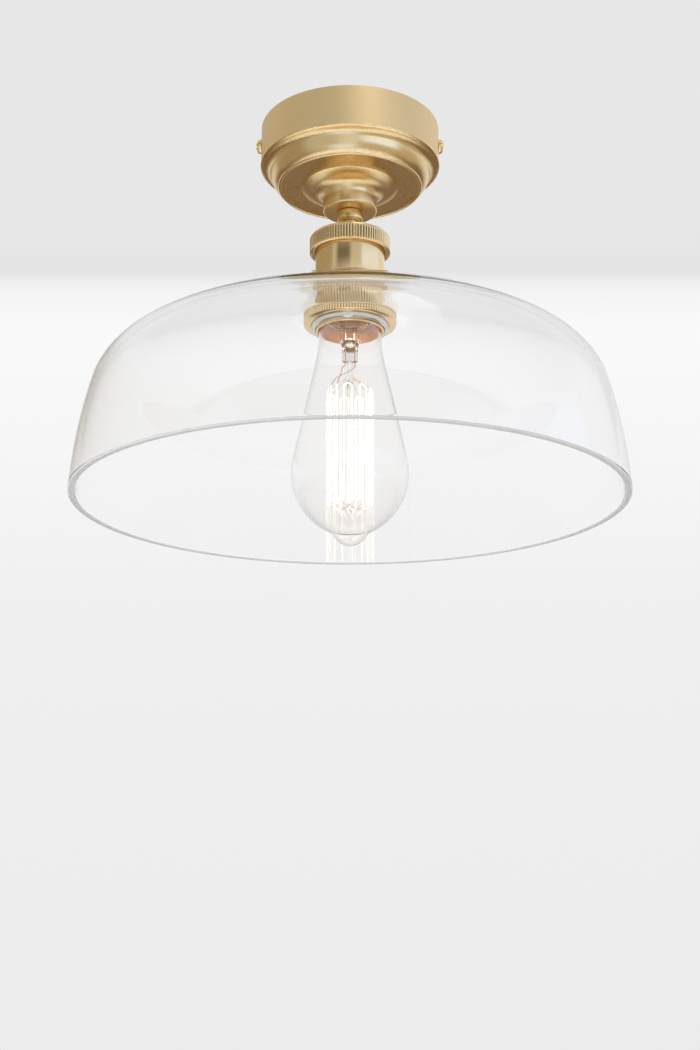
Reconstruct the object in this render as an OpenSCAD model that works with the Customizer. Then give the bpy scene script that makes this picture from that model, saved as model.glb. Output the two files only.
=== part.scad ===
// Semi-flush ceiling light. A brass rose covers a steel ceiling bracket, a hollow
// nipple carries a screw lampholder below it, a knurled ring clamps a clear glass
// dome against a ribbed sleeve, and a long filament lamp hangs in the dome.
// The ceiling is the plane z = 0 and everything hangs below it. A drop is a
// distance below the ceiling.

/* [Rose] */
// Outer radius of the rose's straight wall
rose_r = 50.8; // [47:0.1:60]
// Height of the straight wall, from the ceiling to the lip
wall_h = 23.5; // [21:0.5:32]
// Thickness of the rose's sheet
rose_t = 1.2; // [0.8:0.1:1.8]
// How far the lip stands out from the wall
lip_proud = 0.3; // [0.1:0.05:0.8]
// Height of the rounded lip
lip_h = 1.1; // [0.6:0.1:2]
// Radius of the cove under the lip
cove_r = 4.5; // [3.5:0.1:5]
// Radius of the flat disc under the rose, to the middle of its bead
disc_r = 40.0; // [37:0.1:42]
// Height of the rounded shoulder, from the lip to the disc
shoulder_h = 12.0; // [9:0.5:16]
// How far the bead stands below the disc
bead_proud = 0.45; // [0.2:0.05:1]
// Width of the bead round the disc
bead_w = 1.8; // [1:0.1:2.4]

/* [Boss] */
// Radius of the boss where it meets the disc
boss_r = 27.3; // [24:0.1:29]
// Height of the boss
boss_h = 15.4; // [13:0.1:20]
// Radius of the convex curve of the boss's foot
boss_curve_r = 14.4; // [11:0.1:18]
// Radius of the hollow curve between the foot and the neck
boss_hollow_r = 6.5; // [5:0.1:7.5]
// Radius of the boss's neck
boss_neck_r = 15.2; // [13:0.1:18]
// Rounding of the neck's lower edge
boss_edge_r = 1.4; // [0.5:0.1:2]
// Wall of the hollow boss
boss_t = 2.2; // [1.5:0.1:3]
// Radius of the collar under the boss
collar_r = 7.2; // [6.5:0.1:9]
// Height of the collar
collar_h = 6.1; // [4:0.1:9]
// Chamfer on the collar's edges
collar_chamfer = 1.1; // [0.4:0.1:1.5]

/* [Bracket] */
// Thickness of the bracket's steel
strap_t = 2.0; // [1.5:0.1:3]
// Width of the bracket
strap_w = 20.0; // [18:0.5:24]
// Width of the bracket's ears
ear_w = 12.0; // [10:0.5:13]
// How far the ears reach below the strap
ear_h = 14.0; // [12:0.5:17]
// Gap between the ears and the rose's wall
ear_gap = 0.6; // [0.5:0.1:1]
// Distance between the ceiling screws
slot_spacing = 51.0; // [48:0.5:56]
// Width of the slots for the ceiling screws
slot_w = 5.2; // [4:0.1:6]
// Length of the slots, end to end
slot_l = 13.0; // [9:0.5:15]
// Radius of the hole for the supply cable
entry_r = 7.5; // [6:0.1:8]
// Bore radius of the cable grommet
grommet_bore_r = 5.0; // [4:0.1:5.4]

/* [Side screws] */
// Drop of the side screws below the ceiling
side_drop = 9.4; // [8:0.1:10.5]
// Thread radius of the side screws
side_thread_r = 1.9; // [1.5:0.1:2.2]
// Length of the side screws under the head
side_l = 9.0; // [7:0.5:12]
// Head radius of the side screws
side_head_r = 3.9; // [3.2:0.1:4.5]
// Head height of the side screws
side_head_h = 2.0; // [1.2:0.1:2.5]
// Thickness of the side screws' washers
side_washer_t = 0.9; // [0.5:0.1:1.2]

/* [Nipple] */
// Outer radius of the hollow nipple
nipple_r = 4.95; // [4.5:0.05:5.4]
// Bore radius of the nipple
nipple_bore_r = 3.6; // [3.4:0.05:3.8]
// How far the nipple stands above its nut
nipple_top = 2.2; // [1:0.1:3]
// Height of the nipple's nut
nut_h = 5.0; // [3:0.1:6]
// Width of the nut across its flats
nut_flats = 14.0; // [13:0.5:17]
// Thickness of the spring washer under the nut
lock_washer_t = 1.0; // [0.6:0.1:1.4]
// Thickness of the earth tag
tag_t = 0.8; // [0.5:0.1:1]
// Length of bare nipple between the collar and the lampholder
nipple_show = 3.1; // [2:0.1:5]

/* [Lampholder] */
// Knurl radius of the lampholder's cap
cap_r = 22.7; // [21.9:0.1:25]
// Height of the cap's crown, above its knurled edge
cap_crown_h = 6.8; // [6:0.1:9]
// Height of the cap's edge
cap_edge_h = 9.4; // [8:0.1:12]
// Radius of the cap's top boss
cap_boss_r = 8.0; // [7:0.1:9]
// Wall of the cap
cap_t = 1.5; // [1.2:0.1:2]
// Outer radius of the barrel
barrel_r = 19.5; // [19.4:0.1:20.2]
// Inner radius of the barrel
barrel_bore_r = 18.0; // [17.8:0.1:18.3]
// Radius of the barrel's threaded end
barrel_thread_r = 19.1; // [18.9:0.05:19.2]
// Height of plain barrel between the cap and the sleeve
barrel_show = 16.4; // [12:0.5:22]
// How far the barrel ends below the clamp ring
barrel_out = 1.1; // [0.5:0.1:3]
// Spacing of the knurls
knurl_pitch = 1.6; // [1.3:0.1:2.5]
// Depth of the knurls
knurl_depth = 0.4; // [0.2:0.05:0.5]

/* [Shade clamp] */
// Rib radius of the sleeve above the glass
sleeve_r = 20.2; // [19.9:0.1:21]
// Height of the ribbed sleeve
sleeve_h = 15.2; // [12:0.5:20]
// Radius of the sleeve's foot, which bears on the glass
foot_r = 22.3; // [21.8:0.1:23.5]
// Height of the sleeve's foot
foot_h = 2.0; // [1.5:0.1:3]
// Knurl radius of the clamp ring
ring_r = 25.8; // [24.8:0.1:28]
// Height of the clamp ring
ring_h = 7.1; // [6.5:0.1:10]
// Height of the plain band above the ring's knurl
ring_band = 1.5; // [0.8:0.1:2]
// Radius of the bright liner under the clamp ring
liner_r = 21.8; // [21.2:0.1:23]
// How far the liner stands below the clamp ring
liner_h = 2.4; // [1.5:0.1:4]
// Depth of the liner's seat in the clamp ring
liner_seat = 2.2; // [1.5:0.1:3]
// Thickness of the washer between the ring and the glass
shade_washer_t = 0.4; // [0.3:0.05:1]
// Running clearance of the screwed rings on the barrel
ring_clear = 0.05; // [0.03:0.01:0.1]

/* [Glass dome] */
// Outer radius of the dome at its rim
rim_r = 150.0; // [130:1:170]
// Height of the dome, from its seat to its rim
dome_h = 112.1; // [100:0.5:125]
// Thickness of the dome's glass
dome_t = 3.6; // [3:0.1:4.5]
// Thickness of the glass at its seat
seat_t = 2.8; // [2.4:0.1:3.5]
// Radius of the hole in the dome
dome_hole_r = 20.6; // [20:0.1:21.2]
// Radius of the flat seat round the hole
pad_r = 24.0; // [23:0.1:26]
// Radius of the dome's crown
crown_r = 250.0; // [235:1:270]
// Radius of the dome's shoulder
dome_shoulder_r = 36.0; // [28:0.5:42]
// Radius of the dome's curved wall
dome_wall_r = 290.0; // [260:5:400]
// Lean of the wall at the rim, in degrees
rim_lean = 3.0; // [2:0.1:4]
// Chamfer on the rim's edges
rim_chamfer = 0.5; // [0.2:0.1:1]

/* [Lampholder insides] */
// Height of the porcelain core
core_h = 13.0; // [11:0.5:14]
// Gap between the porcelain core and the barrel
core_gap = 0.4; // [0.3:0.1:0.8]
// Drop of the core's top below the cap's lower edge
core_drop = 0.6; // [0:0.1:2]
// Length of the screw shell
shell_l = 24.5; // [22:0.5:25]
// Inner radius of the screw shell
shell_bore_r = 13.45; // [13.4:0.05:13.8]
// Thickness of the screw shell
shell_t = 0.5; // [0.4:0.05:0.8]
// Height of the spring contact
contact_h = 2.0; // [1.5:0.1:3]
// Thickness of the carrier plate over the core
carrier_t = 2.0; // [1.5:0.1:2.5]
// Distance between the carrier's screws
carrier_spacing = 23.0; // [21:0.5:25]

/* [Wiring] */
// Radius of the insulated wires
wire_r = 1.0; // [0.7:0.05:1.1]
// Width of the terminal block
block_w = 26.0; // [24:0.5:30]
// Depth of the terminal block
block_d = 15.0; // [13:0.5:16]
// Height of the terminal block
block_h = 12.0; // [10:0.5:14]
// Distance between the terminals of the block
way_pitch = 8.0; // [7:0.1:8.6]

/* [Lamp] */
// Length of the lamp, from its contact to its tip
lamp_l = 153.0; // [146:0.5:160]
// Largest radius of the lamp's glass
bulb_r = 32.0; // [30:0.5:34]
// Height of the widest place above the tip
bulb_wide_h = 40.0; // [36:0.5:44]
// Radius of the curve below the widest place
bulb_low_r = 35.0; // [33:0.5:38]
// Radius of the curve above the widest place
bulb_high_r = 47.0; // [40:0.5:55]
// Radius of the hollow curve at the neck
bulb_neck_curve_r = 100.0; // [80:5:130]
// Radius of the glass neck where it leaves the cap
bulb_neck_r = 17.35; // [16.5:0.05:17.5]
// Radius of the rounded tip
tip_r = 10.1; // [8:0.1:12]
// Rounding between the tip and the bulb
tip_fillet = 2.5; // [1.5:0.1:4]
// Thickness of the lamp's glass
bulb_t = 0.9; // [0.6:0.1:1.2]
// Length of the lamp's screw cap, from contact to rim
lamp_cap_l = 25.0; // [24:0.5:26]
// Crest radius of the lamp's screw thread
lamp_cap_r = 13.1; // [12.9:0.05:13.2]
// Pitch of the lamp's screw thread
lamp_pitch = 3.6; // [3.2:0.1:4]
// Depth of the lamp's screw thread
lamp_thread_depth = 1.0; // [0.6:0.1:1.2]
// Radius of the filament cage
cage_r = 12.4; // [10:0.1:14]
// Height of the cage's lower hooks above the tip
cage_low_h = 22.5; // [20:0.5:26]
// Length of the filament's strands
strand_l = 65.0; // [50:0.5:70]
// Number of strands
strands = 18; // [12:2:24]
// Radius of the coiled filament
filament_r = 0.35; // [0.25:0.05:0.45]
// Radius of the support wires
support_r = 0.25; // [0.15:0.05:0.35]
// Radius of the lead wires
lead_r = 0.3; // [0.2:0.05:0.4]
// Radius of the stem's glass tube
stem_r = 5.5; // [5:0.1:6.5]
// Radius of the stem's glass rod
rod_r = 1.6; // [1.2:0.1:2]

/* [Hidden] */

round_fn = 96;
arc_steps = 14;
over = 1;              // how far a cutting solid runs past the solid that it cuts
seat_gap = 0.1;        // gap of a round piece in the hole that it passes through
thread_gap = 0.05;     // gap of a screwed piece on its thread

// Drops of the faces from the ceiling down
disc_d = wall_h + shoulder_h;
floor_d = disc_d - rose_t;
boss_d = disc_d + boss_h;
collar_d = boss_d + collar_h;
cap_top_d = collar_d + nipple_show;
cap_edge_d = cap_top_d + cap_crown_h;
cap_low_d = cap_edge_d + cap_edge_h;
sleeve_top_d = cap_low_d + barrel_show;
seat_d = sleeve_top_d + sleeve_h + foot_h;
ring_top_d = seat_d + seat_t + shade_washer_t;
ring_low_d = ring_top_d + ring_h;
liner_low_d = ring_low_d + liner_h;
barrel_low_d = liner_low_d + barrel_out;
rim_d = seat_d + dome_h;

// Nut, tag and spring washer on the rose's floor
washer_top_d = floor_d - lock_washer_t;
tag_top_d = washer_top_d - tag_t;
nut_top_d = tag_top_d - nut_h;
nipple_top_d = nut_top_d - nipple_top;

// Insides of the lampholder
cap_roof_d = cap_top_d + 3.4;
carrier_hub_h = 4.9;   // keeps the carrier's screws clear of the cap's cone
carrier_hub_r = 7.0;
carrier_d = cap_roof_d + carrier_hub_h;
carrier_low_d = carrier_d + carrier_t;
nipple_low_d = carrier_low_d;
core_top_d = cap_low_d + core_drop;
core_low_d = core_top_d + core_h;
contact_d = core_low_d + contact_h;
core_r = barrel_bore_r - core_gap;
barrel_top_d = cap_edge_d + cap_t + 0.2;
cap_bore_r = barrel_r + seat_gap;
shell_r = shell_bore_r + shell_t;
post_r = 3.0;

// Lamp
lamp_gap = 0.05;       // gap between the lamp's contact and its neighbours
lamp_contact_h = 1.6;
lamp_top_d = contact_d + lamp_gap;
lamp_rim_d = lamp_top_d + lamp_cap_l;
lamp_tip_d = lamp_top_d + lamp_l;
insulator_top_d = lamp_top_d + lamp_contact_h + lamp_gap;
insulator_h = 3.6;
insulator_low_d = insulator_top_d + insulator_h;
lamp_shell_in_r = lamp_cap_r - lamp_thread_depth - 0.5;
insulator_r = lamp_shell_in_r + 0.35;
glass_neck_r = lamp_shell_in_r - 0.2;
bulb_shoulder_h = 6.0;
bulb_neck_d = lamp_rim_d + bulb_shoulder_h;
bulb_wide_d = lamp_tip_d - bulb_wide_h;
cage_low_d = lamp_tip_d - cage_low_h;
cage_top_d = cage_low_d - strand_l;
button_r = 2.6;
button_top_d = cage_top_d - 6.5;
button_low_d = cage_low_d + 1.8;
press_low_d = button_top_d - 9.5;
press_top_d = press_low_d - 11;
stem_dome_d = press_low_d - 7;
press_w = 8.4;
press_t = 3.0;
rod_low_d = button_low_d;
lead_x = 2.6;
lead_top_gap = 0.3;    // gap of the leads under the insulator

// Shape of the rose's shoulder and of the boss's foot
cove_step = 1.0;       // how far the cove starts inside the wall
cove_end_a = 11;       // lean of the sheet where the cove ends
bulge_in = 1.4;        // how far the bulge's middle stands inside the bead
bulge_drop = 1.0;      // drop of the bulge's middle below the lip
bead_step = 0.1;       // crease between the bulge and the bead
bead_sunk = 0.3;       // height of the bead's middle above the disc's face
boss_foot_h = 0.5;     // height of the foot's plain edge
boss_foot_a = 31;      // slope of the foot at its edge
boss_flange_w = 8;     // width of solid foot round the boss's hollow

// Knurled bands
edge_step = 0.1;      // how far the plain edges stand inside the knurl's valleys
knurl_root = knurl_depth + 0.05;

// Ears and side screws
ear_x = rose_r - rose_t - ear_gap;
ear_run = 8;           // length of the bracket's narrow ends
side_hole_gap = 0.4;
side_face_x = rose_r + 0.15;
side_head_x = side_face_x + side_washer_t;

// Wires, as points that they pass through
block_y = strap_w / 2 + 1.5;
block_top_d = strap_t;
way_d = block_top_d + block_h * 0.55;
bore_lane = nipple_bore_r - wire_r - 0.5;
wire_end_gap = 0.2;    // gap of a wire's end at what it meets
way_depth = 2.4;       // how far a wire goes into the terminal block
way_out = 2.5;         // how far a wire runs straight out of the terminal block
wire_sag = 4;          // drop of the wires' first bend below their terminals
live_bend = [3.2, 8.5];     // first bend, across and away from the terminal block
neutral_bend = [1.2, 7.5];
earth_bend = [2.5, 7];
live_a = 210;          // side of the nipple's bore where the wire runs
neutral_a = 30;
bore_rise = 1.5;       // height of the wires' turn above the nipple
bore_top_run = 6;      // straight runs at the bore's two ends
bore_low_run = 14;
bore_low_gap = 0.5;
fan_y = 3.6;           // bend below the nipple, away from the axis and down
fan_drop = 3.2;
terminal_run = 1;      // straight run before a terminal of the lampholder
tag_wire_in = 2.6;     // how far the earth wire's end stands inside the tag's end
tag_bend = [2.5, 8];   // last bend of the earth wire, beside and above the tag
tag_run = 3.5;
terminal_y = 10.5;
terminal_h = 4.6;
terminal_w = 6.0;
terminal_bore_h = 2.2; // height of the terminals' bores above the core
terminal_bore_r = 1.3;
terminal_screw_r = 1.3;
tag_end_x = 15.0;

// Brass, steel, glass and the rest
brass = [0.76, 0.65, 0.42];
polished_brass = [0.80, 0.62, 0.28];
zinc = [0.72, 0.73, 0.74];
nickel = [0.80, 0.80, 0.79];
clear_glass = [0.85, 0.9, 0.92, 0.35];

function arc(c, r, a0, a1, n = arc_steps) =
    [for (i = [0 : n]) let (a = a0 + (a1 - a0) * i / n) c + [r[0] * cos(a), r[1] * sin(a)]];
function round_arc(c, r, a0, a1, n = arc_steps) = arc(c, [r, r], a0, a1, n);
function angle_of(v) = atan2(v[1], v[0]);
function backwards(p) = [for (i = [len(p) - 1 : -1 : 0]) p[i]];
// Meeting point of two circles, on the left of the line from the first to the second
function meet(c1, r1, c2, r2) =
    let (d = c2 - c1, l = norm(d), u = d / l, x = (r1 * r1 - r2 * r2 + l * l) / (2 * l),
         h = sqrt(r1 * r1 - x * x))
    c1 + x * u + h * [-u[1], u[0]];
function on_way(a, b, d) = a + (b - a) / norm(b - a) * d;

module turned(points) rotate_extrude($fn = round_fn) polygon(points);

module tube(r_out, r_in, top_d, low_d) {
    translate([0, 0, -low_d]) difference() {
        cylinder(r = r_out, h = low_d - top_d, $fn = round_fn);
        translate([0, 0, -over]) cylinder(r = r_in, h = low_d - top_d + 2 * over, $fn = round_fn);
    }
}

module disc(r, top_d, low_d) {
    translate([0, 0, -low_d]) cylinder(r = r, h = low_d - top_d, $fn = round_fn);
}

// A band of straight knurls round a bore
module knurl_band(r, bore, top_d, low_d) {
    count = floor(2 * PI * r / knurl_pitch);
    points = [for (i = [0 : 2 * count - 1])
        let (a = 180 * i / count, q = i % 2 == 0 ? r : r - knurl_depth) [q * cos(a), q * sin(a)]];
    translate([0, 0, -low_d]) difference() {
        linear_extrude(low_d - top_d) polygon(points);
        translate([0, 0, -over]) cylinder(r = bore, h = low_d - top_d + 2 * over, $fn = round_fn);
    }
}

// A straight rod between two points
module rod(p, q, r) {
    v = q - p;
    translate(p) rotate([0, acos(v[2] / norm(v)), atan2(v[1], v[0])])
        cylinder(r = r, h = norm(v), $fn = 16);
}

// A smooth curve through the points of a wire's route
function spline_point(a, b, c, d, t) =
    0.5 * ((2 * b) + (c - a) * t + (2 * a - 5 * b + 4 * c - d) * t * t
    + (3 * b - a - 3 * c + d) * t * t * t);
function spline(p, n) = concat(
    [for (i = [0 : len(p) - 2], k = [0 : n - 1])
        spline_point(p[max(i - 1, 0)], p[i], p[i + 1], p[min(i + 2, len(p) - 1)], k / n)],
    [p[len(p) - 1]]);
function unit(v) = v / norm(v);
function tangent(p, i) = unit(p[min(i + 1, len(p) - 1)] - p[max(i - 1, 0)]);

// A tube swept along a path, with its seam turned towards side(i)
module swept(path, r, sides, side) {
    n = len(path);
    rings = [for (i = [0 : n - 1])
        let (t = tangent(path, i), u = unit(cross(side[i], t)), v = cross(t, u))
        for (k = [0 : sides - 1]) path[i] + r * (cos(360 * k / sides) * u + sin(360 * k / sides) * v)];
    walls = [for (i = [0 : n - 2], k = [0 : sides - 1])
        let (a = i * sides + k, b = i * sides + (k + 1) % sides)
        each [[a, b, b + sides], [a, b + sides, a + sides]]];
    caps = [for (k = [1 : sides - 2]) each [[0, k + 1, k],
        [(n - 1) * sides, (n - 1) * sides + k, (n - 1) * sides + k + 1]]];
    polyhedron(points = rings, faces = [for (f = concat(walls, caps)) [f[2], f[1], f[0]]]);
}

module wire(points, r, side, n = 5, sides = 8) {
    path = spline(points, n);
    swept(path, r, sides, [for (p = path) side]);
}

module ceiling_bracket() {
    color(zinc) difference() {
        union() {
            translate([-ear_x, -ear_w / 2, -strap_t]) cube([2 * ear_x, ear_w, strap_t]);
            translate([ear_run - ear_x, -strap_w / 2, -strap_t])
                cube([2 * (ear_x - ear_run), strap_w, strap_t]);
            translate([-block_w / 2, 0, -strap_t]) cube([block_w, block_y + block_d, strap_t]);
            for (side = [-1, 1])
                translate([side * (ear_x - strap_t / 2) - strap_t / 2, -ear_w / 2, -strap_t - ear_h])
                    cube([strap_t, ear_w, ear_h + over / 2]);
        }
        for (side = [-1, 1]) {
            translate([side * slot_spacing / 2, 0, -strap_t - over]) slot_cut();
            translate([side * (ear_x - strap_t / 2), 0, -side_drop]) rotate([0, 90, 0])
                cylinder(r = side_thread_r + thread_gap, h = strap_t + 2 * over, center = true,
                    $fn = round_fn);
        }
        disc(entry_r, -over, strap_t + over);
        for (side = [-1, 1]) translate([side * way_pitch / 2, block_y + block_d / 2, 0]) turned([
            [0, over], [fixing_head_r + seat_gap, over], [fixing_head_r + seat_gap, 0],
            [fixing_r + seat_gap, -(fixing_head_r - fixing_r)], [fixing_r + seat_gap, -strap_t - over],
            [0, -strap_t - over]]);
    }
}

module slot_cut() {
    straight = slot_l - slot_w;
    for (side = [-1, 1])
        translate([side * straight / 2, 0, 0])
            cylinder(r = slot_w / 2, h = strap_t + 2 * over, $fn = round_fn);
    translate([-straight / 2, -slot_w / 2, 0]) cube([straight, slot_w, strap_t + 2 * over]);
}

module cable_grommet() {
    lip = 1.6;
    color([0.16, 0.16, 0.17]) turned([
        [grommet_bore_r, -0.2], [entry_r - seat_gap, -0.2], [entry_r - seat_gap, -strap_t],
        [entry_r + lip, -strap_t], [entry_r + lip, -strap_t - 1.2],
        [grommet_bore_r + 0.6, -strap_t - 1.8], [grommet_bore_r, -strap_t - 1.8]]);
}

// Below its lip the rose's sheet runs through a cove into a bulge, and the bulge ends at
// the bead round the disc. The bulge is part of an ellipse that leaves the cove smoothly.
module rose_cover() {
    lean = tan(cove_end_a);
    bulge_c = [disc_r - bulge_in, -(wall_h + bulge_drop)];
    bulge_b = disc_d + bulge_c[1];
    span = rose_r - cove_step - cove_r * cos(cove_end_a) - bulge_c[0];
    bulge_a = sqrt((span * span + span * sqrt(span * span + 4 * bulge_b * bulge_b * lean * lean)) / 2);
    leave_a = atan(bulge_b / bulge_a * lean);
    bulge_end_a = acos((disc_r + bead_w / 2 + bead_step - bulge_c[0]) / bulge_a);
    cove_c = bulge_c + [bulge_a * cos(leave_a), -bulge_b * sin(leave_a)]
        + cove_r * [cos(cove_end_a), -sin(cove_end_a)];
    cove_in_r = cove_r + rose_t;
    wall_in_r = rose_r - rose_t;
    bead_c = [disc_r, -(disc_d - bead_sunk)];
    bead_b = bead_proud + bead_sunk;
    bead_end_a = asin(bead_sunk / bead_b);
    next_a = leave_a + 3;
    outer = concat(
        [[rose_r, 0], [rose_r, -(wall_h - lip_h)]],
        arc([rose_r, -(wall_h - lip_h / 2)], [lip_proud, lip_h / 2], 90, -90, 6),
        round_arc(cove_c, cove_r, 90, 180 - cove_end_a, 8),
        arc(bulge_c, [bulge_a, bulge_b], -next_a, -bulge_end_a),
        arc(bead_c, [bead_w / 2, bead_b], 0, -180 + bead_end_a, 8),
        [[nipple_r + seat_gap, -disc_d]]);
    inner = concat(
        [[nipple_r + seat_gap, -floor_d]],
        arc(bulge_c, [bulge_a - rose_t, bulge_b - rose_t], -90, -next_a),
        round_arc(cove_c, cove_in_r, 180 - cove_end_a, acos((wall_in_r - cove_c[0]) / cove_in_r), 8),
        [[wall_in_r, 0]]);
    color(brass) difference() {
        turned(concat(outer, inner));
        for (side = [-1, 1])
            translate([side * rose_r, 0, -side_drop]) rotate([0, 90, 0])
                cylinder(r = side_thread_r + side_hole_gap, h = 6 * rose_t, center = true, $fn = round_fn);
    }
}

// The boss is an ogee: a low convex foot that runs through a hollow curve into the neck
module rose_boss() {
    foot_edge = [boss_r, -(disc_d + boss_foot_h)];
    foot_c = foot_edge - boss_curve_r * [sin(boss_foot_a), -cos(boss_foot_a)];
    reach = boss_neck_r + boss_hollow_r - foot_c[0];
    both_r = boss_curve_r + boss_hollow_r;
    hollow_c = foot_c + [reach, -sqrt(both_r * both_r - reach * reach)];
    join_a = angle_of(hollow_c - foot_c);
    outer = concat(
        [[boss_r, -disc_d]],
        round_arc(foot_c, boss_curve_r, angle_of(foot_edge - foot_c), join_a, 10),
        round_arc(hollow_c, boss_hollow_r, join_a + 180, 180, 12),
        round_arc([boss_neck_r - boss_edge_r, -(boss_d - boss_edge_r)], boss_edge_r, 0, -90, 6));
    cave_r = boss_neck_r - boss_edge_r - boss_t;
    color(brass) turned(concat(outer, [
        [nipple_r + seat_gap, -boss_d], [nipple_r + seat_gap, -(boss_d - boss_t)],
        [cave_r, -(boss_d - boss_t)], [cave_r, hollow_c[1] + boss_t + boss_foot_h],
        [boss_r - boss_flange_w, -disc_d]]));
}

module nipple_collar() {
    color(brass) turned([
        [nipple_r + thread_gap, -boss_d], [collar_r - 0.5, -boss_d], [collar_r, -(boss_d + 0.5)],
        [collar_r, -(collar_d - collar_chamfer)], [collar_r - collar_chamfer, -collar_d],
        [nipple_r + thread_gap, -collar_d]]);
}

module nipple() {
    color(polished_brass) tube(nipple_r, nipple_bore_r, nipple_top_d, nipple_low_d);
}

module nipple_nut() {
    color(zinc) translate([0, 0, -tag_top_d]) difference() {
        cylinder(r = nut_flats / sqrt(3), h = nut_h, $fn = 6);
        translate([0, 0, -over]) cylinder(r = nipple_r + thread_gap, h = nut_h + 2 * over, $fn = round_fn);
    }
}

module lock_washer() {
    color(zinc) difference() {
        tube(nut_flats / 2, nipple_r + seat_gap, washer_top_d, floor_d);
        translate([nipple_r - over, -0.4, -floor_d - over])
            cube([nut_flats / 2, 0.8, lock_washer_t + 2 * over]);
    }
}

module earth_tag() {
    color(polished_brass) translate([0, 0, -washer_top_d]) difference() {
        union() {
            cylinder(r = nut_flats / 2, h = tag_t, $fn = round_fn);
            translate([0, -2.5, 0]) cube([tag_end_x, 5, tag_t]);
        }
        translate([0, 0, -over]) cylinder(r = nipple_r + seat_gap, h = tag_t + 2 * over, $fn = round_fn);
    }
}

ways = [-way_pitch, 0, way_pitch];
insert_r = 2.4;
insert_bore_r = 1.4;
block_screw_r = 1.2;
block_screw_h = 2.0;
screw_rows = [0.27, 0.73];
fixing_r = 1.0;
fixing_l = 8.0;
fixing_head_r = 2.0;

module terminal_block() {
    color([0.93, 0.93, 0.90]) difference() {
        translate([-block_w / 2, block_y, -block_top_d - block_h]) cube([block_w, block_d, block_h]);
        for (x = ways) {
            translate([x, block_y - over, -way_d]) rotate([-90, 0, 0])
                cylinder(r = insert_r + seat_gap, h = block_d + 2 * over, $fn = round_fn);
            for (y = screw_rows)
                translate([x, block_y + block_d * y, -block_top_d - block_h - over])
                    cylinder(r = block_screw_r + 0.4, h = block_h + over - block_h * 0.45, $fn = round_fn);
        }
        for (side = [-1, 1]) translate([side * way_pitch / 2, block_y + block_d / 2, 0])
            disc(fixing_r + thread_gap, block_top_d - over, fixing_l + 0.5);
    }
}

module block_inserts() {
    color(polished_brass) for (x = ways) difference() {
        translate([x, block_y + 1, -way_d]) rotate([-90, 0, 0])
            cylinder(r = insert_r, h = block_d - 2, $fn = round_fn);
        translate([x, block_y - over, -way_d]) rotate([-90, 0, 0])
            cylinder(r = insert_bore_r, h = block_d + 2 * over, $fn = round_fn);
        for (y = screw_rows)
            translate([x, block_y + block_d * y, -way_d - insert_r - over])
                cylinder(r = block_screw_r + thread_gap, h = insert_r + over, $fn = round_fn);
    }
}

module block_screws() {
    color(zinc) for (x = ways, y = screw_rows)
        translate([x, block_y + block_d * y, -way_d - insert_r - 0.6]) difference() {
            cylinder(r = block_screw_r, h = block_screw_h, $fn = 24);
            translate([-block_screw_r - over, -0.25, -over])
                cube([2 * (block_screw_r + over), 0.5, over + 0.5]);
        }
}

// Two countersunk screws hold the terminal block under the bracket's tab
module block_fixing() {
    color(zinc) for (side = [-1, 1]) translate([side * way_pitch / 2, block_y + block_d / 2, 0]) turned([
        [0, -0.2], [fixing_head_r - 0.2, -0.2], [fixing_r, -(fixing_head_r - fixing_r)],
        [fixing_r, -fixing_l], [0, -fixing_l]]);
}

// Points down the nipple's bore and out to a terminal of the lampholder
function down_bore(a, out) =
    let (x = bore_lane * cos(a), y = bore_lane * sin(a)) [
    [x, y, -nipple_top_d + bore_rise],
    [x, y, -nipple_top_d - bore_top_run],
    [x, y, -nipple_low_d + bore_low_run],
    [x, y, -nipple_low_d + bore_low_gap],
    [x / 2, out * fan_y, -nipple_low_d - fan_drop],
    [0, out * (terminal_y - terminal_w / 2 - terminal_run), -core_top_d + terminal_bore_h],
    [0, out * (terminal_y - terminal_screw_r - wire_end_gap), -core_top_d + terminal_bore_h]];

// Points out of a way of the terminal block, to the wire's first bend
function out_of_block(x, bend) = [
    [x, block_y + way_depth, -way_d],
    [x, block_y - way_out, -way_d],
    [x + bend[0], block_y - bend[1], -way_d - wire_sag]];

module live_wire() {
    color([0.45, 0.26, 0.14])
        wire(concat(out_of_block(ways[0], live_bend), down_bore(live_a, -1)), wire_r, [1, 0.1, 0]);
}

module neutral_wire() {
    color([0.16, 0.33, 0.62])
        wire(concat(out_of_block(ways[1], neutral_bend), down_bore(neutral_a, 1)), wire_r, [1, 0.1, 0]);
}

module earth_wire() {
    x = tag_end_x - tag_wire_in;
    color([0.45, 0.62, 0.22]) wire(concat(out_of_block(ways[2], earth_bend), [
        [x, tag_bend[0], -tag_top_d + tag_bend[1]], [x, 0, -tag_top_d + tag_run],
        [x, 0, -tag_top_d + wire_end_gap]]), wire_r, [1, 0.1, 0]);
}

// The cap: a knurled edge under a shallow cone and a small boss
module lampholder_cap() {
    edge_r = cap_r - knurl_depth - edge_step;
    root_r = cap_r - knurl_root;
    cone_r = cap_r - 2.2;
    color(brass) union() {
        turned([
            [nipple_r + thread_gap, -cap_top_d], [cap_boss_r - 0.5, -cap_top_d],
            [cap_boss_r, -cap_top_d - 0.5], [cap_boss_r, -cap_top_d - 1.8],
            [cone_r, -cap_edge_d + 0.9], [edge_r, -cap_edge_d], [edge_r, -cap_edge_d - 1],
            [root_r - 0.2, -cap_edge_d - 1], [root_r - 0.2, -cap_low_d + 0.5],
            [edge_r - 0.3, -cap_low_d + 0.5], [edge_r - 0.6, -cap_low_d],
            [cap_bore_r, -cap_low_d], [cap_bore_r, -cap_edge_d - cap_t],
            [cap_bore_r - 1.4, -cap_edge_d - cap_t], [carrier_hub_r + 1.5, -cap_roof_d],
            [nipple_r + thread_gap, -cap_roof_d]]);
        knurl_band(cap_r, root_r - 0.6, cap_edge_d + 1, cap_low_d - 0.5);
    }
}

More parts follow.
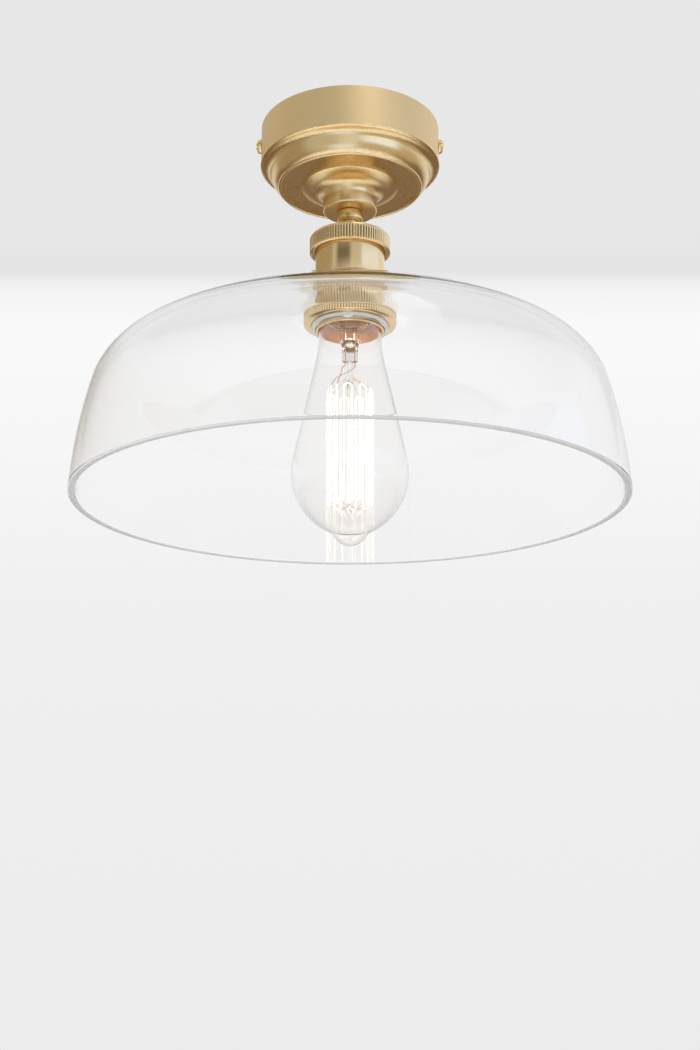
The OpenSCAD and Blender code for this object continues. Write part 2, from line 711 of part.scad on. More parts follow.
// The carrier screws onto the nipple and holds the porcelain core by two screws
module core_carrier() {
    color(zinc) difference() {
        union() {
            disc(carrier_hub_r, cap_roof_d, carrier_low_d);
            translate([-carrier_spacing / 2 - 4, -5, -carrier_low_d])
                cube([carrier_spacing + 8, 10, carrier_t]);
        }
        disc(nipple_r + thread_gap, cap_roof_d - over, carrier_low_d + over);
        for (side = [-1, 1])
            translate([side * carrier_spacing / 2, 0, -carrier_low_d - over])
                cylinder(r = 1.6, h = carrier_t + 2 * over, $fn = round_fn);
    }
}

module carrier_screws() {
    color(zinc) for (side = [-1, 1]) translate([side * carrier_spacing / 2, 0, 0]) difference() {
        union() {
            disc(2.6, carrier_d - 1.6, carrier_d);
            disc(1.5, carrier_d, core_top_d + 3);
        }
        translate([-3, -0.35, -carrier_d + 1]) cube([6, 0.7, over]);
    }
}

// The barrel: plain above, threaded below for the sleeve and the clamp ring
module lampholder_barrel() {
    thread_pitch = 1.5;
    thread_depth = 0.25;
    relief = 0.8;
    top = sleeve_top_d + relief;
    turns = floor((barrel_low_d - 0.6 - top) / thread_pitch);
    thread = [for (i = [0 : turns - 1]) each [
        [barrel_thread_r - thread_depth, -(top + i * thread_pitch)],
        [barrel_thread_r, -(top + (i + 0.35) * thread_pitch)],
        [barrel_thread_r, -(top + (i + 0.65) * thread_pitch)]]];
    color(brass) turned(concat(
        [[barrel_bore_r, -barrel_top_d], [barrel_r, -barrel_top_d], [barrel_r, -sleeve_top_d],
         [barrel_thread_r - thread_depth, -sleeve_top_d]],
        thread,
        [[barrel_thread_r - thread_depth, -(barrel_low_d - 0.5)],
         [barrel_thread_r - thread_depth - 0.2, -barrel_low_d],
         [barrel_bore_r + 0.2, -barrel_low_d], [barrel_bore_r, -(barrel_low_d - 0.4)]]));
}

module porcelain_core() {
    color([0.93, 0.91, 0.86]) difference() {
        union() {
            disc(core_r, core_top_d, core_low_d);
            for (side = [-1, 1]) translate([side * carrier_spacing / 2, 0, 0])
                disc(post_r, carrier_low_d, core_top_d + over);
        }
        for (side = [-1, 1]) translate([side * carrier_spacing / 2, 0, 0])
            disc(1.55, carrier_low_d - over, core_top_d + 3.2);
        for (side = [-1, 1]) translate([0, side * terminal_y, 0])
            disc(terminal_screw_r + seat_gap, core_top_d - over, core_top_d + 6);
        translate([0, 0, -core_low_d - over]) cylinder(r = 3, h = 3 + over, $fn = round_fn);
    }
}

module holder_terminals() {
    color(polished_brass) for (side = [-1, 1]) difference() {
        union() {
            translate([-terminal_w / 2, side * terminal_y - terminal_w / 2, -core_top_d])
                cube([terminal_w, terminal_w, terminal_h]);
            translate([0, side * terminal_y, 0]) disc(terminal_screw_r, core_top_d - over, core_top_d + 5);
        }
        translate([0, side * (terminal_y - terminal_w / 2 - over), -core_top_d + terminal_bore_h])
            rotate([side * -90, 0, 0])
                cylinder(r = terminal_bore_r, h = terminal_w + 2 * over, $fn = round_fn);
        translate([0, side * terminal_y, -core_top_d + terminal_bore_h])
            cylinder(r = terminal_screw_r + thread_gap, h = terminal_h, $fn = round_fn);
    }
}

module terminal_screws() {
    proud = 0.8;       // how far the screws stand above the terminals
    color(zinc) for (side = [-1, 1])
        translate([0, side * terminal_y, -core_top_d + terminal_bore_h]) difference() {
            cylinder(r = terminal_screw_r, h = terminal_h - terminal_bore_h + proud, $fn = 32);
            translate([-2, -0.3, terminal_h - terminal_bore_h + proud - 0.7]) cube([4, 0.6, 1]);
        }
}

module screw_shell() {
    color(polished_brass) difference() {
        union() {
            tube(shell_r, shell_bore_r, core_low_d, core_low_d + shell_l);
            tube(shell_r, 6, core_low_d, core_low_d + shell_t);
        }
        for (a = [45, 225]) rotate(a) translate([9.5, 0, -core_low_d - shell_t - over])
            cylinder(r = 1, h = shell_t + 2 * over, $fn = round_fn);
    }
}

module spring_contact() {
    color(polished_brass) union() {
        disc(2.8, core_low_d - 2.9, core_low_d + 0.4);
        disc(1.6, core_low_d, contact_d - 0.5);
        disc(4.0, contact_d - 0.6, contact_d);
    }
}

// The ribbed sleeve bears down on the glass with its plain foot
module sleeve_ring() {
    bore_r = barrel_thread_r + ring_clear;
    rib_low_d = seat_d - foot_h - 0.4;
    root_r = sleeve_r - knurl_root;
    color(brass) union() {
        turned(concat([
            [bore_r, -sleeve_top_d], [root_r, -sleeve_top_d], [root_r, -(seat_d - foot_h)]],
            arc([foot_r - foot_h / 2, -(seat_d - foot_h / 2)], [foot_h / 2, foot_h / 2], 90, -90, 8),
            [[bore_r, -seat_d]]));
        knurl_band(sleeve_r, bore_r + 0.25, sleeve_top_d, rib_low_d);
    }
}

module shade_washer() {
    color([0.9, 0.9, 0.88]) tube(pad_r + 0.6, dome_hole_r - 0.8, seat_d + seat_t, ring_top_d);
}

// The dome's section: flat seat, crown, shoulder, wall and rim, one thickness inside
function dome_apex_y() = -seat_d + crown_r - sqrt(crown_r * crown_r - pad_r * pad_r);
function dome_curve(inset) =
    let (rim = [rim_r, -rim_d],
         wall_c = rim - dome_wall_r * [cos(rim_lean), sin(rim_lean)],
         crown_c = [0, -seat_d - sqrt(crown_r * crown_r - pad_r * pad_r)],
         shoulder_c = meet(wall_c, dome_wall_r - dome_shoulder_r, crown_c, crown_r - dome_shoulder_r),
         wall_a = angle_of(shoulder_c - wall_c),
         crown_a = angle_of(shoulder_c - crown_c),
         start_r = inset > 0 ? pad_r + 6 : pad_r)
    concat(
        round_arc(crown_c, crown_r - inset, acos(start_r / (crown_r - inset)), crown_a, 24),
        round_arc(shoulder_c, dome_shoulder_r - inset, crown_a, wall_a, 20),
        round_arc(wall_c, dome_wall_r - inset, wall_a, rim_lean, 14));

module glass_dome() {
    outer = dome_curve(0);
    inner = dome_curve(dome_t);
    last_out = outer[len(outer) - 1];
    last_in = inner[len(inner) - 1];
    color(clear_glass) turned(concat(
        [[dome_hole_r, -seat_d]],
        [for (i = [0 : len(outer) - 2]) outer[i]],
        [on_way(last_out, outer[len(outer) - 2], rim_chamfer), on_way(last_out, last_in, rim_chamfer),
         on_way(last_in, last_out, rim_chamfer), on_way(last_in, inner[len(inner) - 2], rim_chamfer)],
        [for (i = [len(inner) - 2 : -1 : 0]) inner[i]],
        [[pad_r + 2, -(seat_d + seat_t)], [dome_hole_r, -(seat_d + seat_t)]]));
}

module clamp_ring() {
    bore_r = barrel_thread_r + ring_clear;
    edge_r = ring_r - knurl_depth - edge_step;
    band_r = ring_r + edge_step;
    root_r = ring_r - knurl_root;
    seat_r = liner_r + seat_gap;
    color(brass) union() {
        turned([
            [bore_r, -ring_top_d], [band_r - 0.8, -ring_top_d], [band_r, -ring_top_d - 0.6],
            [band_r, -ring_top_d - ring_band], [root_r - 0.2, -ring_top_d - ring_band],
            [root_r - 0.2, -ring_low_d + 0.9], [edge_r, -ring_low_d + 0.9],
            [edge_r - 0.6, -ring_low_d + 0.4],
            [seat_r, -ring_low_d], [seat_r, -ring_low_d + liner_seat], [bore_r, -ring_low_d + liner_seat]]);
        knurl_band(ring_r, root_r - 0.6, ring_top_d + ring_band, ring_low_d - 0.9);
    }
}

module ring_liner() {
    bore_r = barrel_thread_r + ring_clear;
    color(nickel) turned([
        [bore_r, -ring_low_d + liner_seat], [liner_r, -ring_low_d + liner_seat],
        [liner_r, -ring_low_d - 0.3],
        [liner_r - 0.35, -liner_low_d + 0.6], [liner_r - 0.9, -liner_low_d], [bore_r + 0.5, -liner_low_d],
        [bore_r, -liner_low_d + 0.5]]);
}

module side_screw(side) {
    color(polished_brass) translate([side * side_head_x, 0, -side_drop]) rotate([0, side * 90, 0])
    difference() {
        union() {
            rotate_extrude($fn = 48) polygon(concat(
                [[0, 0], [side_head_r, 0], [side_head_r, 0.4]],
                arc([0, 0.4], [side_head_r, side_head_h - 0.4], 8, 90, 10)));
            translate([0, 0, -side_l]) cylinder(r = side_thread_r, h = side_l + 0.2, $fn = 48);
        }
        translate([-side_head_r - over, -0.4, side_head_h - 0.8]) cube([2 * (side_head_r + over), 0.8, 1]);
    }
}

module side_washer(side) {
    color(polished_brass) translate([side * side_face_x, 0, -side_drop]) rotate([0, side * 90, 0])
    difference() {
        cylinder(r = side_head_r + 0.2, h = side_washer_t - 0.05, $fn = 48);
        translate([0, 0, -over]) cylinder(r = side_thread_r + 0.15, h = side_washer_t + 2 * over, $fn = 48);
    }
}

module side_screw_left() side_screw(-1);
module side_washer_left() side_washer(-1);
module side_screw_right() side_screw(1);
module side_washer_right() side_washer(1);

module lamp_contact() {
    color([0.72, 0.70, 0.66]) turned(concat(
        [[0, -lamp_top_d]], arc([2.8, -lamp_top_d - 1], [1.8, 1], 90, 0, 6),
        [[4.6, -lamp_top_d - lamp_contact_h], [0, -lamp_top_d - lamp_contact_h]]));
}

module lamp_insulator() {
    color([0.08, 0.08, 0.09]) turned([
        [0, -insulator_top_d], [5.4, -insulator_top_d], [insulator_r, -insulator_low_d + 0.5],
        [insulator_r, -insulator_low_d], [0, -insulator_low_d]]);
}

// The lamp's cap has a rolled thread, drawn here as rings of one pitch
module lamp_cap() {
    top = insulator_low_d + 1.2;
    low = lamp_rim_d - 1.6;
    turns = floor((low - top) / lamp_pitch);
    steps = 8;
    wave = [for (i = [0 : turns * steps])
        [lamp_cap_r - lamp_thread_depth / 2 * (1 + cos(360 * i / steps)), -(top + lamp_pitch * i / steps)]];
    color([0.78, 0.66, 0.42]) turned(concat(
        [[lamp_shell_in_r, -insulator_low_d], [lamp_cap_r - lamp_thread_depth, -insulator_low_d]],
        wave,
        [[lamp_cap_r - lamp_thread_depth, -low], [lamp_cap_r + 0.1, -lamp_rim_d],
         [lamp_shell_in_r, -lamp_rim_d]]));
}

// The bulb's section: neck in the cap, shoulder, hollow curve, bulb, fillet and tip
function bulb_curve(inset) =
    let (neck_c = [bulb_neck_r + bulb_neck_curve_r, -bulb_neck_d],
         high_c = [bulb_r - bulb_high_r, -bulb_wide_d],
         low_c = [bulb_r - bulb_low_r, -bulb_wide_d],
         tip_c = [0, -(lamp_tip_d - tip_r)],
         fillet_c = meet(low_c, bulb_low_r + tip_fillet, tip_c, tip_r + tip_fillet),
         span = norm(neck_c - high_c),
         run_a = angle_of(neck_c - high_c) - acos((bulb_high_r + bulb_neck_curve_r) / span))
    concat(
        [[glass_neck_r - inset, -insulator_low_d - 2], [glass_neck_r - inset, -lamp_rim_d - 0.4 - inset]],
        arc([glass_neck_r, -bulb_neck_d],
            [bulb_neck_r - glass_neck_r - inset, bulb_shoulder_h - 0.4 - inset], 75, 0, 8),
        round_arc(neck_c, bulb_neck_curve_r + inset, 181, 180 + run_a, 10),
        round_arc(high_c, bulb_high_r - inset, run_a, 0, 10),
        round_arc(low_c, bulb_low_r - inset, -4, angle_of(fillet_c - low_c), 16),
        round_arc(fillet_c, tip_fillet + inset, angle_of(low_c - fillet_c), angle_of(tip_c - fillet_c) , 5),
        round_arc(tip_c, tip_r - inset, angle_of(fillet_c - tip_c), -90, 10));

module lamp_glass() {
    color(clear_glass) turned(concat(bulb_curve(0), backwards(bulb_curve(bulb_t))));
}

module lamp_stem() {
    flare_top = insulator_low_d + 3;
    color(clear_glass) union() {
        turned(concat(
            [[glass_neck_r - bulb_t - 0.1, -flare_top], [stem_r, -flare_top - 6]],
            arc([0, -stem_dome_d + stem_r], [stem_r, stem_r], 0, -90, 8),
            arc([0, -stem_dome_d + stem_r], [stem_r - 0.8, stem_r - 0.8], -90, 0, 8),
            [[stem_r - 0.8, -flare_top - 6], [glass_neck_r - bulb_t - 1.3, -flare_top]]));
        intersection() {
            disc(press_w / 2, press_top_d, press_low_d);
            translate([-press_w, -press_t / 2, -press_low_d - over])
                cube([2 * press_w, press_t, press_low_d - press_top_d + 2 * over]);
        }
        disc(rod_r, press_low_d - over, rod_low_d);
        translate([0, 0, -button_top_d]) sphere(r = button_r, $fn = 32);
        translate([0, 0, -button_low_d]) sphere(r = button_r, $fn = 32);
    }
}

// Strands stand on a circle, with a gap at the front left where the leads join
strand_step = 360 / strands;
gap_a = 225;
function strand_a(k) = gap_a + (k + 0.5) * strand_step;
function cage_point(a, d, r = cage_r) = [r * cos(a), r * sin(a), -d];
hook_h = 1.6;
hook_in = 0.5;

// The filament runs down one strand and up the next, as one unbroken wire
filament_path = [for (k = [0 : strands - 1])
    let (down = k % 2 == 0, a = strand_a(k), first = down ? cage_top_d : cage_low_d,
         last = down ? cage_low_d : cage_top_d, way = down ? 1 : -1)
    each concat(
        [cage_point(a, first + way * (k == 0 ? 0 : hook_h)), cage_point(a, (first + last) / 2),
         cage_point(a, last - way * (k == strands - 1 ? 0 : hook_h))],
        k == strands - 1 ? [] : [cage_point(a + strand_step * 0.25, last - way * hook_h * 0.3),
            cage_point(a + strand_step * 0.5, last, cage_r - hook_in),
            cage_point(a + strand_step * 0.75, last - way * hook_h * 0.3)])];
// Smallest distance between two strands, from skin to skin
strand_gap = 2 * cage_r * sin(strand_step / 2) - 2 * filament_r;
echo(least_gap_between_strands = strand_gap);

module lamp_filament() {
    color([1.0, 0.72, 0.38]) swept(filament_path, filament_r, 6,
        [for (p = filament_path) [p[0], p[1], 0]]);
}

module lamp_supports() {
    color([0.55, 0.5, 0.45]) for (k = [0 : strands - 2]) {
        low = k % 2 == 0;
        a = strand_a(k) + strand_step / 2;
        rod(cage_point(a, low ? button_low_d : button_top_d, button_r / 2),
            cage_point(a, low ? cage_low_d - 0.1 : cage_top_d + 0.1, cage_r - hook_in), support_r);
    }
}

module lamp_leads() {
    left_end = cage_point(strand_a(0), cage_top_d);
    right_end = cage_point(strand_a(strands - 1), cage_top_d);
    color([0.72, 0.5, 0.32]) union() {
        wire([[-lead_x, 0, -insulator_low_d - lead_top_gap], [-lead_x, 0, -press_top_d + 6],
            [-lead_x, 0, -press_low_d],
            [-lead_x - 1.4, -0.8, -press_low_d - 2.6], left_end * 0.75 + [0, 0, -cage_top_d * 0.25 + 6],
            left_end], lead_r, [0.2, 1, 0], 4, 6);
        wire([[lead_x, 0, -insulator_low_d - lead_top_gap], [lead_x, 0, -press_top_d + 6],
            [lead_x, 0, -press_low_d],
            [lead_x + 0.4, -1.5, -press_low_d - 2.2], [0.6, -3.4, -press_low_d - 5.5],
            [right_end[0] * 0.75, right_end[1] * 0.75, -cage_top_d + 5],
            right_end], lead_r, [0.2, 1, 0], 4, 6);
    }
}

ceiling_bracket();
cable_grommet();
rose_cover();
rose_boss();
nipple_collar();
nipple();
nipple_nut();
lock_washer();
earth_tag();
terminal_block();
block_inserts();
block_screws();
block_fixing();
live_wire();
neutral_wire();
earth_wire();
lampholder_cap();
core_carrier();
carrier_screws();
lampholder_barrel();
porcelain_core();
holder_terminals();
terminal_screws();
screw_shell();
spring_contact();
sleeve_ring();
shade_washer();
glass_dome();
clamp_ring();
ring_liner();
side_screw_left();
side_washer_left();
side_screw_right();
side_washer_right();
lamp_contact();
lamp_insulator();
lamp_cap();
lamp_glass();
lamp_stem();
lamp_leads();
lamp_supports();
lamp_filament();
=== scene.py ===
"""A semi-flush ceiling light with a spun brass rose, a screw lampholder and a clear glass dome.

Sizes of the pieces are in millimetres and are made metres where a mesh is built. z is 0 at
the ceiling and everything hangs below it. Turned pieces are outlines of (radius, z) points
that go once round the solid metal or glass, and lathe() spins them about the light's axis.
"""
from math import acos, atan, atan2, ceil, copysign, cos, degrees, dist, pi, radians, sin, sqrt, tan

import bmesh
import bpy
from mathutils import Matrix, Vector


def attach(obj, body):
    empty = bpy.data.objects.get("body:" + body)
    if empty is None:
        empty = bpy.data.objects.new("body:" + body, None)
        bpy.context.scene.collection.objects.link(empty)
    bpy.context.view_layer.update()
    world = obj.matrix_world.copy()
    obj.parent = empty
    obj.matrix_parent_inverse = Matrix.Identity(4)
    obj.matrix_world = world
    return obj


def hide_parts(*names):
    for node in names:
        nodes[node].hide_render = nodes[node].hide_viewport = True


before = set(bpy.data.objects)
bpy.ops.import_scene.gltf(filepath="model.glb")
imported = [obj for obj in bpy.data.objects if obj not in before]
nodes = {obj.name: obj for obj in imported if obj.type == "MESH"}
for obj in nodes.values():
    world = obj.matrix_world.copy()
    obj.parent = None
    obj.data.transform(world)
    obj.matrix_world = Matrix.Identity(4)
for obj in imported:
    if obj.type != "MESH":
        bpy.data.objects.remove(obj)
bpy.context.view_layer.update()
MM = 0.001
TAU = 2 * pi

# Heights of the turned faces below the ceiling, and a few radii, in millimetres
LIP_TOP, DISC, BOSS, COLLAR = 22.8, 35.5, 50.9, 57.0
CAP_TOP, CAP_EDGE, CAP_LOW = 60.1, 66.9, 76.3
SLEEVE_TOP, SEAT, RING_TOP, RING_LOW = 92.7, 109.9, 113.1, 120.2
LINER_LOW, BARREL_LOW, RIM = 122.6, 123.7, 222.0
INSULATOR_LOW, LAMP_RIM, GLOW_AT, LAMP_TIP = 97.2, 116.95, 126.0, 244.95
NIPPLE_R, THREAD_R, THREAD_BORE, BARREL_BORE, SHELL_BORE = 4.95, 19.1, 19.15, 18.0, 11.6


# Outlines

def arc(cx, cz, rx, rz, start, end, steps):
    """Points on an ellipse from one angle to another, in degrees."""
    out = []
    for i in range(steps + 1):
        a = radians(start + (end - start) * i / steps)
        out.append((cx + rx * cos(a), cz + rz * sin(a)))
    return out


def round_arc(centre, radius, start, end, steps):
    """Points on a circle from one angle to another, in degrees."""
    return arc(*centre, radius, radius, start, end, steps)


def angle_to(a, b):
    """Direction from a to b in degrees."""
    return degrees(atan2(b[1] - a[1], b[0] - a[0]))


def soften(points, radius, steps=3, least=14.0):
    """Rounds the corners of a closed outline that turn by more than least degrees."""
    out = []
    count = len(points)
    for i, p in enumerate(points):
        a, b = points[i - 1], points[(i + 1) % count]
        u = Vector((a[0] - p[0], a[1] - p[1]))
        v = Vector((b[0] - p[0], b[1] - p[1]))
        if u.length < 1e-6 or v.length < 1e-6:
            continue
        turn = 180 - degrees(u.angle(v))
        if turn < least or p[0] < 1e-6:
            out.append(p)
            continue
        reach = min(radius * tan(radians(turn) / 2), u.length * 0.4, v.length * 0.4)
        start = Vector(p) + u.normalized() * reach
        end = Vector(p) + v.normalized() * reach
        for k in range(steps + 1):
            t = k / steps
            q = start * (1 - t) ** 2 + Vector(p) * 2 * t * (1 - t) + end * t * t
            out.append((q.x, q.y))
    return out


def dense(points, longest):
    """Splits the long sides of a closed outline, so that a tree can move points along them."""
    out = []
    for i, p in enumerate(points):
        q = points[(i + 1) % len(points)]
        parts = max(1, ceil(dist(p, q) / longest))
        out += [(p[0] + (q[0] - p[0]) * k / parts, p[1] + (q[1] - p[1]) * k / parts) for k in range(parts)]
    return out


# Meshes

def add_object(name, data):
    """A new object in the scene, for a mesh, a curve, a lamp or a camera."""
    piece = bpy.data.objects.new(name, data)
    bpy.context.scene.collection.objects.link(piece)
    return piece


def painted(mesh, material):
    """Gives a whole mesh one material."""
    mesh.materials.clear()
    mesh.materials.append(material)


def shaded(mesh, smooth):
    """Smooth shading, with sharp edges where faces meet at more than smooth degrees."""
    mesh.polygons.foreach_set("use_smooth", [True] * len(mesh.polygons))
    mesh.set_sharp_from_angle(angle=radians(smooth))


def mesh_object(name, points, faces, material, smooth=35.0):
    """An object from points in millimetres, with outward normals and smooth curves."""
    mesh = bpy.data.meshes.new(name)
    mesh.from_pydata([(x * MM, y * MM, z * MM) for x, y, z in points], [], faces)
    work = bmesh.new()
    work.from_mesh(mesh)
    bmesh.ops.remove_doubles(work, verts=work.verts, dist=1e-7)
    bmesh.ops.recalc_face_normals(work, faces=work.faces)
    work.to_mesh(mesh)
    work.free()
    shaded(mesh, smooth)
    painted(mesh, material)
    return add_object(name, mesh)


def lathe(name, outline, sides, material, smooth=35.0):
    """Spins a closed outline about the light's axis. Points at radius 0 become one point."""
    points, rings, faces = [], [], []
    for r, z in outline:
        if r < 1e-6:
            rings.append([len(points)] * sides)
            points.append((0.0, 0.0, z))
        else:
            rings.append(list(range(len(points), len(points) + sides)))
            points += [(r * cos(TAU * k / sides), r * sin(TAU * k / sides), z)
                       for k in range(sides)]
    for i, ring in enumerate(rings):
        after = rings[(i + 1) % len(rings)]
        if ring[0] == ring[1] and after[0] == after[1]:
            continue
        for k in range(sides):
            m = (k + 1) % sides
            corners = []
            for c in (ring[k], ring[m], after[m], after[k]):
                if c not in corners:
                    corners.append(c)
            faces.append(corners)
    return mesh_object(name, points, faces, material, smooth)


def loft(name, sections, material, smooth=40.0):
    """Joins closed rings of points, each with as many points, and closes both ends."""
    points = [p for ring in sections for p in ring]
    n = len(sections[0])
    faces = [[i * n + k, i * n + (k + 1) % n, (i + 1) * n + (k + 1) % n, (i + 1) * n + k]
             for i in range(len(sections) - 1) for k in range(n)]
    faces += [list(range(n)), [len(points) - n + k for k in range(n)]]
    return mesh_object(name, points, faces, material, smooth)


def joined(name, pieces):
    """Makes one object of several, with each one's own material."""
    mesh = bpy.data.meshes.new(name)
    work = bmesh.new()
    for piece in pieces:
        slots = []
        for m in piece.data.materials:
            if m.name not in mesh.materials:
                mesh.materials.append(m)
            slots.append(list(mesh.materials).index(m))
        first = len(work.faces)
        work.from_mesh(piece.data)
        work.faces.ensure_lookup_table()
        for face in work.faces[first:]:
            face.material_index = slots[face.material_index]
        bpy.data.objects.remove(piece)
    work.to_mesh(mesh)
    work.free()
    return add_object(name, mesh)


def wire_curve(name, points, radius=0.0):
    """A curve through points in millimetres. With a radius it is a round wire."""
    curve = bpy.data.curves.new(name, "CURVE")
    curve.dimensions = "3D"
    spline = curve.splines.new("POLY")
    spline.points.add(len(points) - 1)
    for p, q in zip(spline.points, points):
        p.co = (q[0] * MM, q[1] * MM, q[2] * MM, 1)
    curve.bevel_depth = radius * MM
    curve.bevel_resolution = 3
    curve.use_fill_caps = radius > 0
    return add_object(name, curve)


def smooth_path(points, steps):
    """A smooth path through points, as a list of points."""
    out = []
    for i in range(len(points) - 1):
        a, b = Vector(points[max(i - 1, 0)]), Vector(points[i])
        c, d = Vector(points[i + 1]), Vector(points[min(i + 2, len(points) - 1)])
        for k in range(steps):
            t = k / steps
            out.append(0.5 * (2 * b + (c - a) * t + (2 * a - 5 * b + 4 * c - d) * t * t
                              + (3 * b - a - 3 * c + d) * t ** 3))
    return [tuple(p) for p in out] + [tuple(points[-1])]


def plain_mesh(piece, material=None, smooth=35.0):
    """Turns an object with its modifiers into a plain mesh object of the same name."""
    bpy.context.view_layer.update()
    shown = piece.evaluated_get(bpy.context.evaluated_depsgraph_get())
    mesh = bpy.data.meshes.new_from_object(shown)
    name = piece.name
    bpy.data.objects.remove(piece)
    if material is not None:
        painted(mesh, material)
    shaded(mesh, smooth)
    piece = add_object(name, mesh)
    mesh.name = name
    return piece


# Node trees

class Nodes:
    """Short calls that add nodes to one tree, with their inputs by name or number."""

    def __init__(self, tree):
        self.tree = tree

    def wire(self, made, values):
        """Links each input to a socket, or sets it to a value."""
        for key, value in values.items():
            if isinstance(value, bpy.types.NodeSocket):
                self.tree.links.new(value, made.inputs[key])
            else:
                made.inputs[key].default_value = value

    def add(self, kind, values=None, **settings):
        """A new node with its settings and inputs."""
        made = self.tree.nodes.new(kind)
        for key, value in settings.items():
            setattr(made, key, value)
        self.wire(made, values or {})
        return made

    def outputs(self, kind, values=None, **settings):
        return self.add(kind, values, **settings).outputs

    def first(self, kind, values=None, **settings):
        """A new node's first output."""
        return self.outputs(kind, values, **settings)[0]

    def maths(self, operation, a, b=None, c=None):
        values = {i: v for i, v in enumerate((a, b, c)) if v is not None}
        return self.first("ShaderNodeMath", values, operation=operation)

    def vector(self, operation, a, b=None, scale=None):
        """Vector maths. A length or a dot product is a number, all else a vector."""
        values = {0: a}
        if b is not None:
            values[1] = b
        if scale is not None:
            values["Scale"] = scale
        result = "Value" if operation in ("LENGTH", "DOT_PRODUCT") else "Vector"
        return self.outputs("ShaderNodeVectorMath", values, operation=operation)[result]

    def split(self, vector):
        return self.outputs("ShaderNodeSeparateXYZ", {0: vector})

    def packed(self, x=0.0, y=0.0, z=0.0):
        return self.first("ShaderNodeCombineXYZ", {0: x, 1: y, 2: z})

    def ranged(self, value, low, high, start=0.0, end=1.0, soft=False):
        """Goes from start to end as value goes from low to high, evenly or with soft ends."""
        return self.first("ShaderNodeMapRange", {0: value, 1: low, 2: high, 3: start, 4: end},
                          interpolation_type="SMOOTHSTEP" if soft else "LINEAR")

    def between(self, amount, low, high):
        """A number from low to high as amount goes from 0 to 1."""
        return self.ranged(amount, 0.0, 1.0, low, high)

    def blended(self, amount, first, second):
        """A colour from first to second as amount goes from 0 to 1."""
        first, second = (c if isinstance(c, bpy.types.NodeSocket) else (*c, 1.0) for c in (first, second))
        return self.outputs("ShaderNodeMix", {0: amount, 6: first, 7: second}, data_type="RGBA")[2]

    def noise(self, place, scale, detail, rough=0.5, twist=0.0):
        return self.first("ShaderNodeTexNoise", {"Vector": place, "Scale": scale, "Detail": detail,
                                                 "Roughness": rough, "Distortion": twist})

    def place(self):
        """The place on the piece, in metres."""
        return self.outputs("ShaderNodeTexCoord")["Object"]

    def looked_at(self):
        """1 for what the camera sees, straight or through glass."""
        path = self.outputs("ShaderNodeLightPath")
        return self.maths("MAXIMUM", path["Is Camera Ray"], path["Is Transmission Ray"])


def new_group(name, kind, inputs, output, output_kind):
    """A node group. An input is a number, or with None it is of the kind it is named after."""
    tree = bpy.data.node_groups.new(name, kind)
    for title, value in inputs.items():
        input_kind = {float: "Float", int: "Int"}.get(type(value), title)
        socket = tree.interface.new_socket(name=title, in_out="INPUT", socket_type="NodeSocket" + input_kind)
        if value is not None:
            socket.default_value = value
    tree.interface.new_socket(name=output, in_out="OUTPUT", socket_type="NodeSocket" + output_kind)
    t = Nodes(tree)
    return t, t.outputs("NodeGroupInput")


def put_out(t, value):
    """Ends a group with its one output."""
    t.add("NodeGroupOutput", {0: value})
    return t.tree


# Geometry trees

BAND = {"Depth": 0.0004, "Low": -0.1, "High": 0.0, "Fade": 0.0005, "Inner Radius": 0.02}


def geometry_group(name, sizes):
    """A geometry tree whose inputs are a piece, its sizes and its material."""
    return new_group(name, "GeometryNodeTree", {"Geometry": None, **sizes, "Material": None},
                     "Geometry", "Geometry")


def real_pieces(t, geometry, material):
    """Ends a geometry tree with real meshes of one material."""
    whole = t.first("GeometryNodeRealizeInstances", {0: geometry})
    return put_out(t, t.first("GeometryNodeSetMaterial", {0: whole, "Material": material}))


def band_mask(t, g):
    """1 in a band on the outer wall, with the way out, the angle and the height of each point."""
    x, y, height = t.split(t.first("GeometryNodeInputPosition"))
    flat = t.packed(x, y)
    up = t.ranged(t.maths("SUBTRACT", height, g["Low"]), 0.0, g["Fade"], soft=True)
    down = t.ranged(t.maths("SUBTRACT", g["High"], height), 0.0, g["Fade"], soft=True)
    outer = t.maths("GREATER_THAN", t.vector("LENGTH", flat), g["Inner Radius"])
    mask = t.maths("MULTIPLY", t.maths("MULTIPLY", up, down), outer)
    return mask, t.vector("NORMALIZE", flat), t.maths("ARCTAN2", y, x), height


def moved_in(t, g, valley, mask, outward):
    """Moves points towards the axis by as much as they lie in a valley, and ends the tree."""
    amount = t.maths("MULTIPLY", t.maths("MULTIPLY", valley, g["Depth"]), mask)
    offset = t.vector("SCALE", outward, scale=t.maths("MULTIPLY", amount, -1.0))
    moved = t.first("GeometryNodeSetPosition", {"Geometry": g["Geometry"], "Offset": offset})
    return real_pieces(t, moved, g["Material"])


def knurl_tree():
    """Straight knurls: round crests and sharp valleys, a number of them round the axis."""
    t, g = geometry_group("straight_knurls", {"Count": 90.0, **BAND})
    mask, outward, angle, _ = band_mask(t, g)
    turn = t.maths("MULTIPLY", t.maths("MULTIPLY", angle, g["Count"]), 0.5)
    sharpness = 0.8
    crest = t.maths("POWER", t.maths("ABSOLUTE", t.maths("COSINE", turn)), sharpness)
    return moved_in(t, g, t.maths("SUBTRACT", 1.0, crest), mask, outward)


def thread_tree():
    """A right-hand screw thread cut into the outer wall of a turned piece."""
    t, g = geometry_group("screw_thread", {"Pitch": 0.0036, "Sharpness": 1.0, **BAND})
    mask, outward, angle, height = band_mask(t, g)
    turns = t.maths("SUBTRACT", t.maths("DIVIDE", height, g["Pitch"]), t.maths("DIVIDE", angle, TAU))
    wave = t.maths("MULTIPLY_ADD", t.maths("COSINE", t.maths("MULTIPLY", turns, TAU)), 0.5, 0.5)
    crest = t.maths("POWER", wave, g["Sharpness"])
    return moved_in(t, g, t.maths("SUBTRACT", 1.0, crest), mask, outward)


